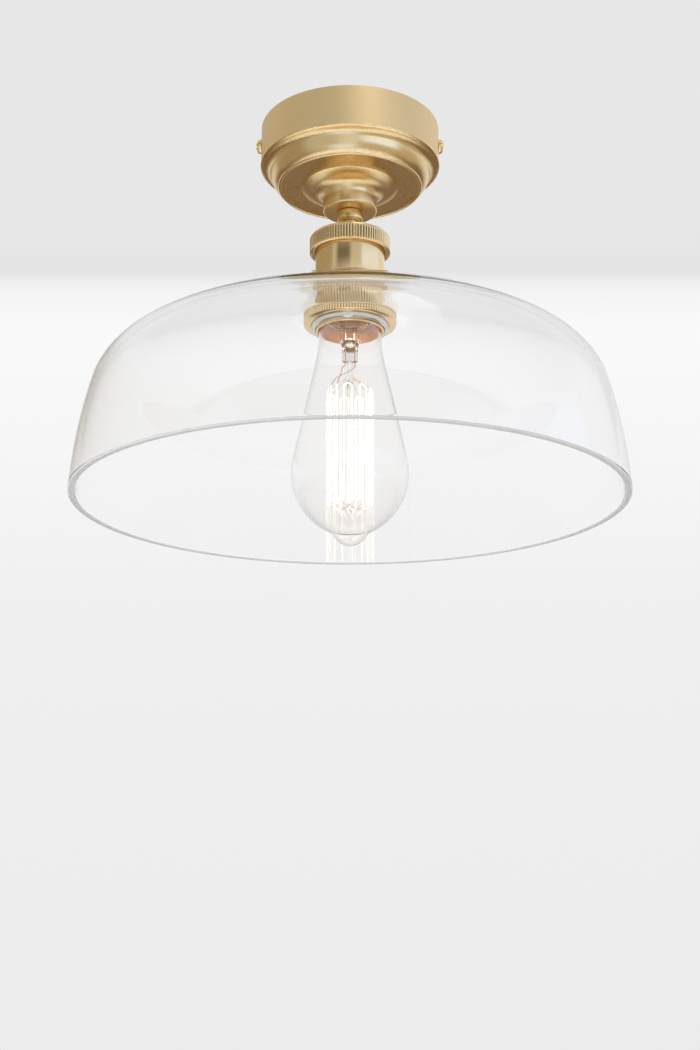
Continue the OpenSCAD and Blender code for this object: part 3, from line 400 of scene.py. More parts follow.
def coil_tree():
    """A wire wound in a fine coil along a curve, made a tube."""
    t, g = geometry_group("wound_wire", {"Coil Radius": 0.0003, "Coil Pitch": 0.0005, "Wire Radius": 0.00008,
                                         "Points a Turn": 6, "Wire Sides": 3})
    step = t.maths("DIVIDE", g["Coil Pitch"], g["Points a Turn"])
    path = t.first("GeometryNodeResampleCurve", {"Curve": g["Geometry"], "Length": step}, mode="LENGTH")
    along = t.outputs("GeometryNodeSplineParameter")["Length"]
    turn = t.maths("MULTIPLY", t.maths("DIVIDE", along, g["Coil Pitch"]), TAU)
    normal = t.first("GeometryNodeInputNormal")
    side = t.vector("CROSS_PRODUCT", t.first("GeometryNodeInputTangent"), normal)
    way = t.vector("ADD", t.vector("SCALE", normal, scale=t.maths("COSINE", turn)),
                   t.vector("SCALE", side, scale=t.maths("SINE", turn)))
    offset = t.vector("SCALE", way, scale=g["Coil Radius"])
    wound = t.first("GeometryNodeSetPosition", {"Geometry": path, "Offset": offset})
    ring = t.first("GeometryNodeCurvePrimitiveCircle",
                   {"Resolution": g["Wire Sides"], "Radius": g["Wire Radius"]})
    tube = t.first("GeometryNodeCurveToMesh", {"Curve": wound, "Profile Curve": ring, "Fill Caps": True})
    return real_pieces(t, tube, g["Material"])


def spokes_tree():
    """Copies of one piece, turned about the light's axis by equal steps."""
    t, g = geometry_group("turned_copies", {"Count": 9, "First Angle": 0.0, "Angle Step": 0.5})
    spots = t.first("GeometryNodeMeshLine", {"Count": g["Count"], "Offset": (0, 0, 0)})
    turn = t.maths("MULTIPLY_ADD", t.first("GeometryNodeInputIndex"), g["Angle Step"], g["First Angle"])
    copies = t.first("GeometryNodeInstanceOnPoints",
                     {"Points": spots, "Instance": g["Geometry"], "Rotation": t.packed(z=turn)})
    return real_pieces(t, copies, g["Material"])


def grown(piece, tree, sizes, smooth=35.0):
    """Puts a geometry tree on a piece with its sizes, and turns the result into a plain mesh."""
    modifier = piece.modifiers.new(tree.name, "NODES")
    modifier.node_group = tree
    for item in tree.interface.items_tree:
        if item.in_out == "INPUT" and item.name in sizes:
            modifier[item.identifier] = sizes[item.name]
    return plain_mesh(piece, smooth=smooth)


knurls, thread, winding, spokes = knurl_tree(), thread_tree(), coil_tree(), spokes_tree()


# Shared finishes

def finish_group(name, inputs, output):
    """A shader group that puts out one number."""
    return new_group(name, "ShaderNodeTree", inputs, output, "Float")


def spun_lines_group():
    """Fine lines that run round the light's axis, as a spinning or turning tool leaves them."""
    t, g = finish_group("spun_lines", {"Lines a Metre": 5000.0, "Break Up": 6.0}, "Lines")
    x, y, z = t.split(t.place())
    flat = t.packed(x, y)
    way = t.split(t.vector("SCALE", t.vector("NORMALIZE", flat), scale=g["Break Up"]))
    height = t.maths("MULTIPLY", t.maths("ADD", z, t.vector("LENGTH", flat)), g["Lines a Metre"])
    return put_out(t, t.noise(t.packed(way[0], way[1], height), 1.0, 3.0, 0.7))


def clouds_group():
    """Soft uneven patches, such as handling and polishing leave."""
    t, g = finish_group("soft_patches", {"Patches a Metre": 60.0, "Contrast": 1.0}, "Patches")
    noise = t.noise(t.place(), g["Patches a Metre"], 4.0, 0.6, 0.4)
    contrast = t.maths("MULTIPLY", g["Contrast"], 2.0)
    spread = t.maths("MULTIPLY_ADD", t.maths("SUBTRACT", noise, 0.5), contrast, 0.5)
    return put_out(t, t.first("ShaderNodeClamp", {0: spread}))


def grain_group():
    """Fine even grain, as on moulded plastic, rubber, plating and fired clay."""
    t, g = finish_group("fine_grain", {"Grains a Metre": 2500.0}, "Grain")
    return put_out(t, t.noise(t.place(), g["Grains a Metre"], 2.0, 0.55))


def wear_group():
    """A mask of outer edges that hands and cloths rub bright."""
    t, g = finish_group("edge_wear", {"Start": 0.51, "End": 0.56, "Speckle": 900.0}, "Wear")
    point = t.outputs("ShaderNodeNewGeometry")["Pointiness"]
    noise = t.noise(t.place(), g["Speckle"], 3.0)
    uneven = t.maths("MULTIPLY_ADD", t.maths("SUBTRACT", noise, 0.5), 0.02, point)
    return put_out(t, t.ranged(uneven, g["Start"], g["End"], soft=True))


def dust_group():
    """Small scattered specks of dust."""
    t, g = finish_group("dust_specks", {"Specks a Metre": 700.0, "Cover": 0.1}, "Dust")
    place = t.place()
    cells = t.outputs("ShaderNodeTexVoronoi", {"Vector": place, "Scale": g["Specks a Metre"]})
    speck = t.ranged(cells["Distance"], g["Cover"], 0.0, soft=True)
    here = t.ranged(t.noise(place, 90.0, 2.0), 0.5, 0.62)
    return put_out(t, t.maths("MULTIPLY", speck, here))


spun_lines, patches, grain = spun_lines_group(), clouds_group(), grain_group()
edge_wear, dust = wear_group(), dust_group()


def spaced(values):
    """Inputs under their own names, in which a keyword has _ for a space."""
    return {key.replace("_", " "): value for key, value in values.items()}


class Finish(Nodes):
    """A material with a Principled shader."""

    def __init__(self, name, **sockets):
        self.material = bpy.data.materials.new(name)
        self.material.use_nodes = True
        super().__init__(self.material.node_tree)
        self.shader = self.tree.nodes["Principled BSDF"]
        self.feed(**sockets)

    def feed(self, **values):
        self.wire(self.shader, spaced(values))
        return self.material

    def group(self, tree, **values):
        return self.first("ShaderNodeGroup", spaced(values), node_tree=tree)

    def bump(self, height, distance, strength, normal=None):
        values = {"Height": height, "Distance": distance, "Strength": strength}
        if normal is not None:
            values["Normal"] = normal
        return self.first("ShaderNodeBump", values)


def brass_finish(name, colour, dark, rough, lines, wear=0.35, line_height=0.000006, wall=None, glow_bore=None,
                 valley_shade=0.0):
    """Satin brass: turned lines, slight handling marks, and edges rubbed a little brighter.

    Less than wall below the ceiling it is duller, as where it was only brushed. Inside the
    radius glow_bore it is rougher, and painted coppery orange as painted filament glow. Both
    are in millimetres. valley_shade is how dark the painted shade in the knurls' hollows is.
    """
    f = Finish(name, Metallic=1.0)
    fine = f.group(spun_lines, Lines_a_Metre=lines)
    broad = f.group(spun_lines, Lines_a_Metre=lines * 0.22, Break_Up=2.0)
    cloud = f.group(patches, Patches_a_Metre=30.0, Contrast=0.9)
    worn = f.maths("MULTIPLY", f.group(edge_wear), wear)
    specks = f.maths("MULTIPLY", f.group(dust, Specks_a_Metre=520.0, Cover=0.05), 0.15)
    tone = f.blended(f.between(cloud, 0.0, 0.3), colour, dark)
    tone = f.blended(f.between(fine, 0.0, 0.12), tone, tuple(min(1.0, c * 1.15) for c in colour))
    tone = f.blended(worn, tone, tuple(min(1.0, c * 1.2 + 0.03) for c in colour))
    tone = f.blended(specks, tone, (0.62, 0.58, 0.50))
    # Painted shade: the knurls' hollows are darkened towards a deep brown by how concave they are
    if valley_shade:
        curve = f.outputs("ShaderNodeNewGeometry")["Pointiness"]
        tone = f.blended(f.ranged(curve, 0.5, 0.44, 0.0, valley_shade), tone, (0.30, 0.19, 0.08))
    shine = f.maths("ADD", f.between(fine, rough - 0.03, rough + 0.04), f.between(cloud, -0.015, 0.02))
    x, y, height = f.split(f.place())
    if wall is not None:
        above = f.maths("GREATER_THAN", height, -wall * MM)
        shine = f.maths("ADD", shine, f.between(above, 0.0, 0.2))
    # Painted warm glow: inside this radius the brass is tinted coppery orange for the filament's light; it is
    # also made rougher
    if glow_bore is not None:
        inside = f.maths("LESS_THAN", f.vector("LENGTH", f.packed(x, y)), glow_bore * MM)
        tone = f.blended(inside, tone, (0.88, 0.58, 0.34))
        shine = f.maths("ADD", shine, f.between(inside, 0.0, 0.35))
    normal = f.bump(broad, line_height * 1.8, 0.25, f.bump(fine, line_height, 0.4))
    return f.feed(Base_Color=tone, Roughness=shine, Normal=normal)


def grained_finish(name, colour, dark, rough, grains, height, metallic=0.0):
    """Plastic, rubber, plating or porcelain: fine grain and slightly uneven tone."""
    f = Finish(name, Metallic=metallic)
    fine = f.group(grain, Grains_a_Metre=grains)
    cloud = f.group(patches, Patches_a_Metre=90.0, Contrast=1.2)
    specks = f.maths("MULTIPLY", f.group(dust, Specks_a_Metre=800.0, Cover=0.09), 0.3)
    tone = f.blended(specks, f.blended(f.between(cloud, 0.0, 0.5), colour, dark), (0.55, 0.53, 0.49))
    return f.feed(Base_Color=tone, Roughness=f.between(fine, rough - 0.05, rough + 0.07),
                  Normal=f.bump(fine, height, 0.6))


def glass_finish(name, tint, wave_height, waves):
    """Clear glass whose surface is hardly wavy, with the odd smear and speck."""
    f = Finish(name, Base_Color=(*tint, 1.0), IOR=1.45, Transmission_Weight=1.0)
    ripple = f.group(patches, Patches_a_Metre=waves, Contrast=0.7)
    smear = f.group(patches, Patches_a_Metre=26.0, Contrast=1.6)
    specks = f.group(dust, Specks_a_Metre=300.0, Cover=0.03)
    f.feed(Roughness=f.maths("ADD", f.between(smear, 0.0, 0.006), f.between(specks, 0.0, 0.3)),
           Normal=f.bump(ripple, wave_height, 0.5))
    # Lamps shine through it, so that what is behind it isn't left in the dark
    shadow = f.outputs("ShaderNodeLightPath")["Is Shadow Ray"]
    clear = f.first("ShaderNodeBsdfTransparent", {"Color": (*(c ** 0.5 for c in tint), 1.0)})
    mix = f.first("ShaderNodeMixShader", {0: shadow, 1: f.shader.outputs[0], 2: clear})
    f.wire(f.tree.nodes["Material Output"], {"Surface": mix})
    return f.material


def ground_finish(name, tint, dark):
    """Ground glass: pale, fine and rough, and hardly clear."""
    f = Finish(name, IOR=1.5, Transmission_Weight=0.25)
    fine = f.group(grain, Grains_a_Metre=2200.0)
    cloud = f.group(patches, Patches_a_Metre=70.0, Contrast=1.0)
    return f.feed(Base_Color=f.blended(f.between(cloud, 0.0, 0.6), tint, dark),
                  Roughness=f.between(fine, 0.35, 0.5), Normal=f.bump(fine, 0.00001, 0.5))


def glow_finish(name, colour, strength, glow):
    """The lit wire, with a slightly uneven glow."""
    f = Finish(name, Metallic=1.0, Emission_Strength=strength)
    fine = f.group(grain, Grains_a_Metre=3800.0)
    cloud = f.group(patches, Patches_a_Metre=120.0, Contrast=1.4)
    return f.feed(Base_Color=f.blended(fine, (0.9, 0.62, 0.34), (1.0, 0.8, 0.55)),
                  Roughness=f.between(fine, 0.35, 0.5), Emission_Color=f.blended(cloud, colour, glow))


GOLD, GOLD_DARK = (0.855, 0.65, 0.35), (0.78, 0.57, 0.28)
rose_brass = brass_finish("rose_brass", GOLD, GOLD_DARK, 0.27, 4200.0, wall=LIP_TOP)
satin_brass = brass_finish("satin_brass", GOLD, GOLD_DARK, 0.29, 4200.0)
# Painted shade darkens the knurled brass in its hollows; the barrel and the lamp cap are painted a coppery
# warm glow inside their bores
knurled_brass = brass_finish("knurled_brass", GOLD, GOLD_DARK, 0.2, 4200.0, valley_shade=0.9)
barrel_brass = brass_finish("barrel_brass", GOLD, GOLD_DARK, 0.19, 4200.0, glow_bore=BARREL_BORE + 0.2)
turned_brass = brass_finish("turned_brass", (0.84, 0.63, 0.33), (0.76, 0.54, 0.26), 0.25, 6500.0)
bright_brass = brass_finish("bright_brass", (0.88, 0.65, 0.29), (0.78, 0.54, 0.22), 0.15, 7000.0, 0.2)
shell_brass = brass_finish("lamp_shell_brass", (0.84, 0.68, 0.42), (0.76, 0.58, 0.33), 0.22, 3000.0, 0.3,
                           glow_bore=SHELL_BORE + 0.1)
bright_nickel = brass_finish("bright_nickel", (0.66, 0.64, 0.59), (0.58, 0.56, 0.51), 0.07, 8000.0, 0.2,
                             0.000003)
zinc_steel = grained_finish("zinc_steel", (0.62, 0.64, 0.66), (0.50, 0.51, 0.52), 0.36, 1800.0, 0.00002, 1.0)
solder = grained_finish("solder", (0.66, 0.64, 0.60), (0.52, 0.50, 0.46), 0.38, 1200.0, 0.00004, 1.0)
lead_metal = grained_finish("lead_metal", (0.90, 0.62, 0.46), (0.78, 0.50, 0.36), 0.4, 4000.0, 0.00001, 1.0)
porcelain = grained_finish("porcelain", (0.86, 0.83, 0.76), (0.78, 0.74, 0.66), 0.26, 900.0, 0.00002)
rubber = grained_finish("black_rubber", (0.028, 0.028, 0.03), (0.05, 0.049, 0.05), 0.62, 2600.0, 0.00003)
silicone = grained_finish("clear_silicone", (0.80, 0.80, 0.77), (0.70, 0.70, 0.67), 0.42, 1800.0, 0.00001)
plastic = grained_finish("white_plastic", (0.84, 0.84, 0.80), (0.76, 0.76, 0.71), 0.38, 2200.0, 0.00002)
brown_sleeve = grained_finish("brown_sleeve", (0.20, 0.09, 0.035), (0.14, 0.06, 0.025), 0.42, 2600.0, 0.00001)
blue_sleeve = grained_finish("blue_sleeve", (0.03, 0.11, 0.38), (0.02, 0.08, 0.30), 0.42, 2600.0, 0.00001)
dome_glass = glass_finish("dome_glass", (0.992, 0.991, 0.988), 0.000008, 14.0)
ground_glass = ground_finish("ground_glass", (0.74, 0.745, 0.725), (0.66, 0.665, 0.645))
bulb_glass = glass_finish("bulb_glass", (0.995, 0.993, 0.985), 0.00004, 30.0)
hot_wire = glow_finish("hot_wire", (1.0, 0.80, 0.56), 3.4, (1.0, 0.88, 0.70))


def striped_sleeve():
    """The earth wire's sleeve: green with yellow bands that climb round it."""
    f = Finish("earth_sleeve")
    bands = f.outputs("ShaderNodeTexWave", {"Vector": f.place(), "Scale": 160.0, "Distortion": 1.5,
                                            "Detail": 1.0}, bands_direction="DIAGONAL")[1]
    fine = f.group(grain, Grains_a_Metre=2600.0)
    return f.feed(Base_Color=f.blended(f.ranged(bands, 0.52, 0.58), (0.06, 0.26, 0.04), (0.75, 0.62, 0.04)),
                  Roughness=f.between(fine, 0.38, 0.5), Normal=f.bump(fine, 0.00001, 0.6))


def insulator_glass():
    """The lamp's black glass insulator, with the pale cement of the seal on its underside."""
    f = Finish("black_vitrite")
    seal = INSULATOR_LOW - 0.3
    sealed = f.maths("LESS_THAN", f.split(f.place())[2], -seal * MM)
    fine = f.group(grain, Grains_a_Metre=900.0)
    black = f.blended(fine, (0.015, 0.015, 0.018), (0.03, 0.028, 0.03))
    cement = f.blended(fine, (0.72, 0.48, 0.30), (0.62, 0.39, 0.23))
    return f.feed(Base_Color=f.blended(sealed, black, cement), Roughness=f.between(sealed, 0.12, 0.6),
                  Normal=f.bump(fine, 0.00002, 0.5))


earth_sleeve, vitrite = striped_sleeve(), insulator_glass()


# Calls that the pieces share

def made(piece, body, slot, *replaced):
    """Puts a piece on the body that it rides on, and hides the nodes that it stands for. slot is not used."""
    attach(piece, body)
    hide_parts(*replaced)


def fine_lathe(name, outline, sides, material, radius):
    """Spins an outline whose corners are rounded."""
    return lathe(name, soften(outline, radius), sides, material)


def cut(piece, tree, material, top, low, inner, depth, fade, **more):
    """Cuts a tree's knurls or thread into a wall, from top down to low, in millimetres below 0.

    Points nearer to the axis than inner stay, and the depth fades in and out over fade.
    """
    return grown(piece, tree, {"High": -top * MM, "Low": -low * MM, "Inner Radius": inner * MM,
                               "Depth": depth * MM, "Fade": fade * MM, "Material": material, **more})


def knurled(name, outline, radius, longest, count, **sizes):
    """A turned piece with a count of knurls round it, each eight points wide."""
    piece = lathe(name, dense(soften(outline, radius), longest), count * 8, knurled_brass)
    return cut(piece, knurls, knurled_brass, **sizes, Count=float(count))


def threaded(piece, material, pitch, sharpness, **sizes):
    """Cuts a right-hand thread with more or less sharp crests."""
    return cut(piece, thread, material, **sizes, Pitch=pitch * MM, Sharpness=sharpness)


# Rose, boss, collar

def rose():
    """Spun cup: straight wall, rolled lip, cove, rounded shoulder, flat disc with a bead."""
    wall_r, cove_end, disc_r, sheet = 50.8, 49.8, 41.0, 1.2
    bulge, half_h, cove_r, lean = (38.6, -24.5), 11.0, 4.5, 11.0
    slope = tan(radians(lean))
    span = cove_end - cove_r * cos(radians(lean)) - bulge[0]
    half_w = sqrt((span ** 2 + span * sqrt(span ** 2 + (2 * half_h * slope) ** 2)) / 2)
    leave = atan(half_h / half_w * slope)
    cove = (bulge[0] + half_w * cos(leave) + cove_r * cos(radians(lean)),
            bulge[1] - half_h * sin(leave) - cove_r * sin(radians(lean)))
    leave = degrees(leave)
    end = degrees(acos((disc_r - bulge[0]) / half_w))
    outline = [(wall_r, 0), (wall_r, -22.4)]
    outline += arc(wall_r, -22.95, 0.3, 0.55, 90, -90, 8)[1:-1]
    outline += round_arc(cove, cove_r, 90, 180 - lean, 16)
    outline += arc(*bulge, half_w, half_h, -leave, -end, 32)[1:]
    outline += arc(40.0, -35.2, 0.9, 0.75, 0, -156, 14)
    outline += [(5.05, -DISC), (5.05, sheet - DISC)]
    outline += arc(*bulge, half_w - sheet, half_h - sheet, -90, -leave, 24)
    outline += round_arc(cove, cove_r + sheet, 180 - lean, 92, 14)[1:] + [(wall_r - sheet, 0)]
    piece = fine_lathe("rose_shell", outline, 192, rose_brass, 0.12)
    made(piece, "fitting", "satin_brass", "rose_cover")


def boss():
    """The boss under the disc: low convex foot, hollow curve, neck and flat face."""
    foot_r, hollow_r, neck_r, edge, slope = 14.4, 6.5, 15.2, 1.4, radians(31.0)
    foot = (27.3 - foot_r * sin(slope), -36.0 + foot_r * cos(slope))
    reach = neck_r + hollow_r - foot[0]
    hollow = (neck_r + hollow_r, foot[1] - sqrt((foot_r + hollow_r) ** 2 - reach ** 2))
    join = angle_to(foot, hollow)
    outline = [(27.3, -DISC)] + round_arc(foot, foot_r, -59, join, 20)
    outline += round_arc(hollow, hollow_r, join + 180, 180, 24)[1:]
    outline += arc(neck_r - edge, -(BOSS - edge), edge, edge, 0, -90, 8)
    outline += [(5.05, -BOSS), (5.05, -48.7), (11.6, -48.7), (11.6, -41.8), (19.3, -DISC)]
    piece = fine_lathe("boss_shell", outline, 160, satin_brass, 0.1)
    made(piece, "fitting", "satin_brass", "rose_boss")


def collar():
    """The short ring under the boss, chamfered at both ends."""
    outline = [(5.0, -BOSS), (6.7, -BOSS), (7.2, -51.4), (7.2, -55.9), (6.1, -COLLAR), (5.0, -COLLAR)]
    piece = fine_lathe("nipple_ring", outline, 96, turned_brass, 0.3)
    made(piece, "fitting", "satin_brass", "nipple_collar")


def threaded_nipple():
    """The hollow nipple, with its fine thread all along."""
    outline = [(NIPPLE_R, -25.3), (NIPPLE_R, -70.4), (3.6, -70.4), (3.6, -25.3)]
    piece = lathe("nipple_tube", dense(soften(outline, 0.3), 0.25), 72, bright_brass)
    piece = threaded(piece, bright_brass, 1.0, 1.0, top=25.4, low=70.3, inner=4.6, depth=0.4, fade=0.6)
    made(piece, "fitting", "bright_brass", "nipple")


# Lampholder

def holder_cap():
    """Cap: small boss, shallow cone, knurled edge."""
    outline = [(5.0, -CAP_TOP), (7.5, -CAP_TOP), (8.0, -60.6), (8.0, -61.9), (20.3, -66.0),
               (22.2, -CAP_EDGE), (22.3, -67.7), (22.7, -67.9), (22.7, -75.8), (22.1, -75.9),
               (21.6, -CAP_LOW), (19.65, -CAP_LOW), (19.6, -68.4), (18.2, -68.4), (8.5, -63.5), (5.0, -63.5)]
    piece = knurled("holder_cap_shell", outline, 0.22, 0.9, count=89, top=67.8, low=75.9, inner=22.1,
                    depth=0.55, fade=0.5)
    made(piece, "fitting", "satin_brass", "lampholder_cap")


def barrel():
    """Barrel: plain above, and a fine thread below for the sleeve and the clamp ring."""
    outline = [(BARREL_BORE, -68.6), (19.5, -68.6), (19.5, -SLEEVE_TOP), (18.85, -92.8), (THREAD_R, -93.4),
               (THREAD_R, -123.0), (18.65, -BARREL_LOW), (18.2, -BARREL_LOW), (BARREL_BORE, -123.3)]
    outline = soften(outline, 0.1)

    def on_thread(p):
        return p[1] < -93 and p[0] > 18.6

    # Only the threaded stretch has close points
    first = next(i for i, p in enumerate(outline) if on_thread(p))
    close = [p for p in dense(outline, 0.19) if on_thread(p)]
    kept = outline[:first] + close + [p for p in outline[first:] if not on_thread(p)]
    piece = lathe("barrel_tube", kept, 128, barrel_brass)
    piece = threaded(piece, barrel_brass, 1.5, 0.8, top=93.2, low=123.3, inner=19.0, depth=0.26, fade=0.5)
    made(piece, "fitting", "satin_brass", "lampholder_barrel")


def sleeve():
    """Ribbed sleeve with a plain round foot that bears on the glass."""
    outline = [(THREAD_BORE, -SLEEVE_TOP), (20.0, -SLEEVE_TOP), (20.2, -92.9), (20.2, -107.4), (19.9, -107.7),
               (19.9, -107.9), (21.2, -107.9)]
    outline += arc(21.3, -108.9, 1.0, 1.0, 88, -88, 12) + [(THREAD_BORE, -SEAT)]
    piece = knurled("ribbed_sleeve", outline, 0.12, 1.0, count=79, top=92.6, low=107.6, inner=19.7,
                    depth=0.5, fade=0.3)
    made(piece, "fitting", "satin_brass", "sleeve_ring")


def clamp_ring():
    """Clamp ring: plain band, knurl, bevelled lower face with the liner's seat."""
    outline = [(THREAD_BORE, -RING_TOP), (25.1, -RING_TOP), (25.88, -113.7), (25.9, -114.5), (25.8, -114.65),
               (25.8, -119.2), (25.3, -119.35), (24.7, -119.8), (21.9, -RING_LOW), (21.9, -118.0),
               (THREAD_BORE, -118.0)]
    piece = knurled("clamp_ring_body", outline, 0.14, 0.7, count=101, top=114.6, low=119.3, inner=25.35,
                    depth=0.5, fade=0.4)
    made(piece, "shade_ring", "satin_brass", "clamp_ring")


def liner():
    """The bright ring in the clamp ring's lower face."""
    outline = [(THREAD_BORE, -118.0), (21.8, -118.0), (21.8, -120.5), (21.45, -122.0), (20.9, -LINER_LOW),
               (19.65, -LINER_LOW), (THREAD_BORE, -122.1)]
    piece = fine_lathe("bright_liner", outline, 160, bright_nickel, 0.3)
    made(piece, "shade_ring", "bright_nickel", "ring_liner")


# Glass dome

def circles_meet(c1, r1, c2, r2):
    """Where two circles cross, on the left of the line from the first centre to the second."""
    a, b = Vector(c1), Vector(c2)
    gap = (b - a).length
    u = (b - a) / gap
    x = (r1 * r1 - r2 * r2 + gap * gap) / (2 * gap)
    h = sqrt(max(0.0, r1 * r1 - x * x))
    return (a.x + x * u.x - h * u.y, a.y + x * u.y + h * u.x)


def dome_side(inset):
    """The dome's curve at one depth in its wall: crown, shoulder, wall."""
    crown_r, shoulder_r, wall_r, lean, pad, steps = 250.0, 36.0, 290.0, 3.0, 24.0, 30
    wall = (150 - wall_r * cos(radians(lean)), -RIM - wall_r * sin(radians(lean)))
    crown = (0.0, -SEAT - sqrt(crown_r ** 2 - pad ** 2))
    shoulder = circles_meet(wall, wall_r - shoulder_r, crown, crown_r - shoulder_r)
    wall_a, crown_a = angle_to(wall, shoulder), angle_to(crown, shoulder)
    start = degrees(acos((pad + (6 if inset else 0)) / (crown_r - inset)))
    return (round_arc(crown, crown_r - inset, start, crown_a, steps)
            + round_arc(shoulder, shoulder_r - inset, crown_a, wall_a, steps)[1:]
            + round_arc(wall, wall_r - inset, wall_a, lean, steps)[1:])


def dome():
    """The clear shell, and the ground edge that closes its rim."""
    outer, inner = dome_side(0.0), dome_side(3.6)
    hole_r, seat_r, seat_low = 20.6, 26.0, 112.7
    # The clear shell ends a hair above the ground band, whose two corners are cut off
    clear, band, cut_up, cut_in = 0.72, 0.7, 0.55, 0.6

    def on_edge(side, up, across):
        """A point up the wall from the rim's corner and across the edge towards the other wall."""
        corner, before = Vector(side[-1]), Vector(side[-2])
        other = Vector((inner if side is outer else outer)[-1])
        return tuple(corner + (before - corner).normalized() * up + (other - corner).normalized() * across)

    outline = ([(hole_r, -SEAT)] + outer[:-1] + [on_edge(outer, clear, 0), on_edge(inner, clear, 0)]
               + inner[:-1][::-1] + [(seat_r, -seat_low), (hole_r, -seat_low)])
    shell = lathe("dome_shell", soften(outline, 0.02, 2, 25.0), 288, dome_glass, 60.0)
    edge = [on_edge(outer, band, 0), on_edge(outer, cut_up, 0), on_edge(outer, 0, cut_in),
            on_edge(inner, 0, cut_in), on_edge(inner, cut_up, 0), on_edge(inner, band, 0)]
    rim = lathe("dome_ground_rim", soften(edge, 0.3, 4), 288, ground_glass, 60.0)
    made(shell, "shade", "clear_glass", "glass_dome")
    made(rim, "shade", "clear_glass", "glass_dome")


# Lamp

def lamp_cap_shell():
    """Rolled screw cap, open below, with a true right-hand thread."""
    outline = [(SHELL_BORE, -INSULATOR_LOW), (12.0, -INSULATOR_LOW), (13.1, -98.6), (13.1, -114.6),
               (12.7, -115.4), (12.9, -116.4), (13.2, -LAMP_RIM), (12.9, -LAMP_RIM), (SHELL_BORE, -116.6)]
    piece = lathe("lamp_cap_shell", dense(soften(outline, 0.3), 0.3), 96, shell_brass)
    piece = threaded(piece, shell_brass, 3.6, 0.75, top=98.4, low=115.2, inner=12.5, depth=1.0, fade=2.0)
    made(piece, "lamp", "lamp_shell", "lamp_cap")


def bulb_side(inset):
    """The bulb's curve at one depth in its wall: neck, shoulder, hollow curve, bulb, tip."""
    neck_r, cap_neck, hollow_r, high_r, low_r, tip_r, blend = 17.35, 11.4, 100.0, 47.0, 35.0, 10.1, 5.0
    shoulder, hollow = (cap_neck, -122.95), (neck_r + hollow_r, -122.95)
    high, low, tip = (-15.0, -204.95), (-3.0, -204.95), (0.0, -(LAMP_TIP - tip_r))
    fillet = circles_meet(low, low_r + blend, tip, tip_r + blend)
    run = angle_to(high, hollow) - degrees(acos((hollow_r + high_r) / dist(hollow, high)))
    out = [(cap_neck - inset, -99.2), (cap_neck - inset, -117.35 - inset)]
    out += arc(*shoulder, neck_r - cap_neck - inset, 5.6 - inset, 80, 0, 14)
    out += round_arc(hollow, hollow_r + inset, 180.5, 180 + run, 26)
    out += round_arc(high, high_r - inset, run, 0, 22)
    out += round_arc(low, low_r - inset, -3, angle_to(low, fillet), 26)
    out += round_arc(fillet, blend + inset, angle_to(fillet, low), angle_to(fillet, tip), 12)
    return out + round_arc(tip, tip_r - inset, angle_to(tip, fillet), -90, 18)


def bulb():
    """The bulb's thin glass, closed at its tip and open at its neck."""
    outer, inner = bulb_side(0.0), bulb_side(0.9)
    outer[-1], inner[-1] = (0.0, outer[-1][1]), (0.0, inner[-1][1])
    piece = lathe("bulb_shell", soften(outer + inner[::-1], 0.3, 3, 25.0), 192, bulb_glass, 60.0)
    made(piece, "lamp", "lamp_clear_glass", "lamp_glass")


# Depths of the stem's parts below the ceiling
STEM_TOP, PRESS_LOW, BEAD_HIGH, BEAD_LOW = 100.2, 141.45, 150.95, 224.25


def rounded_ring(half_x, half_y, z, power):
    """A ring of points between an ellipse (power 2) and a rectangle (higher powers)."""
    out, count = [], 40
    for k in range(count):
        c, s = cos(TAU * k / count), sin(TAU * k / count)
        out.append((half_x * copysign(abs(c) ** (2 / power), c),
                    half_y * copysign(abs(s) ** (2 / power), s), z))
    return out


def stem():
    """Flared tube, pinched press, and a rod with a bead at each end."""
    tube = [(10.4, -STEM_TOP), (8.4, -103.0), (6.0, -106.4), (5.5, -109.0), (5.5, -127.5), (5.2, -130.0),
            (4.6, -132.0), (3.7, -132.0), (4.3, -130.0), (4.7, -127.5), (4.7, -109.0), (5.2, -106.6),
            (7.6, -103.0), (9.2, -STEM_TOP)]
    flare = lathe("flare", soften(tube, 1.2, 4), 72, bulb_glass, 60.0)
    pinched = ((0.5, 0.5, -127.4, 2.0), (2.6, 2.5, -128.4, 2.0), (4.1, 3.8, -130.0, 2.0),
               (4.45, 3.6, -131.2, 2.1), (4.35, 2.6, -133.2, 2.6), (4.25, 1.75, -135.2, 3.4),
               (4.2, 1.5, -137.0, 4.0), (4.2, 1.5, -140.2, 4.0), (4.05, 1.35, -141.1, 3.6),
               (3.6, 1.0, -PRESS_LOW, 3.0))
    press = loft("press", [rounded_ring(*sizes) for sizes in pinched], bulb_glass, 60.0)
    rod = [(0.0, -140.6), (1.6, -140.9), (1.6, -145.0)]
    rod += arc(0.0, -BEAD_HIGH, 2.6, 2.3, 50, -50, 12) + [(1.6, -157.0), (1.6, -218.0)]
    rod += arc(0.0, -BEAD_LOW, 2.6, 2.5, 50, -90, 16)
    rod[-1] = (0.0, -BEAD_LOW - 2.5)
    core = lathe("rod", rod, 48, bulb_glass, 60.0)
    made(joined("stem_glass", [flare, press, core]), "lamp", "lamp_clear_glass", "lamp_stem")


# The filament's cage: strands, the angle where its ends are, radius, depths, and how far its bends reach
STRANDS, GAP_ANGLE, CAGE_R, CAGE_LOW = 18, 225.0, 12.4, 222.45
CAGE_TOP = CAGE_LOW - 65.0
STEP = 360.0 / STRANDS
BEND = 1.8


def strand_angle(k):
    """The angle of a strand about the axis, in degrees."""
    return GAP_ANGLE + (k + 0.5) * STEP


def cage_point(angle, drop, radius=CAGE_R):
    """A point at an angle about the axis and a drop below the ceiling."""
    a = radians(angle)
    return (radius * cos(a), radius * sin(a), -drop)


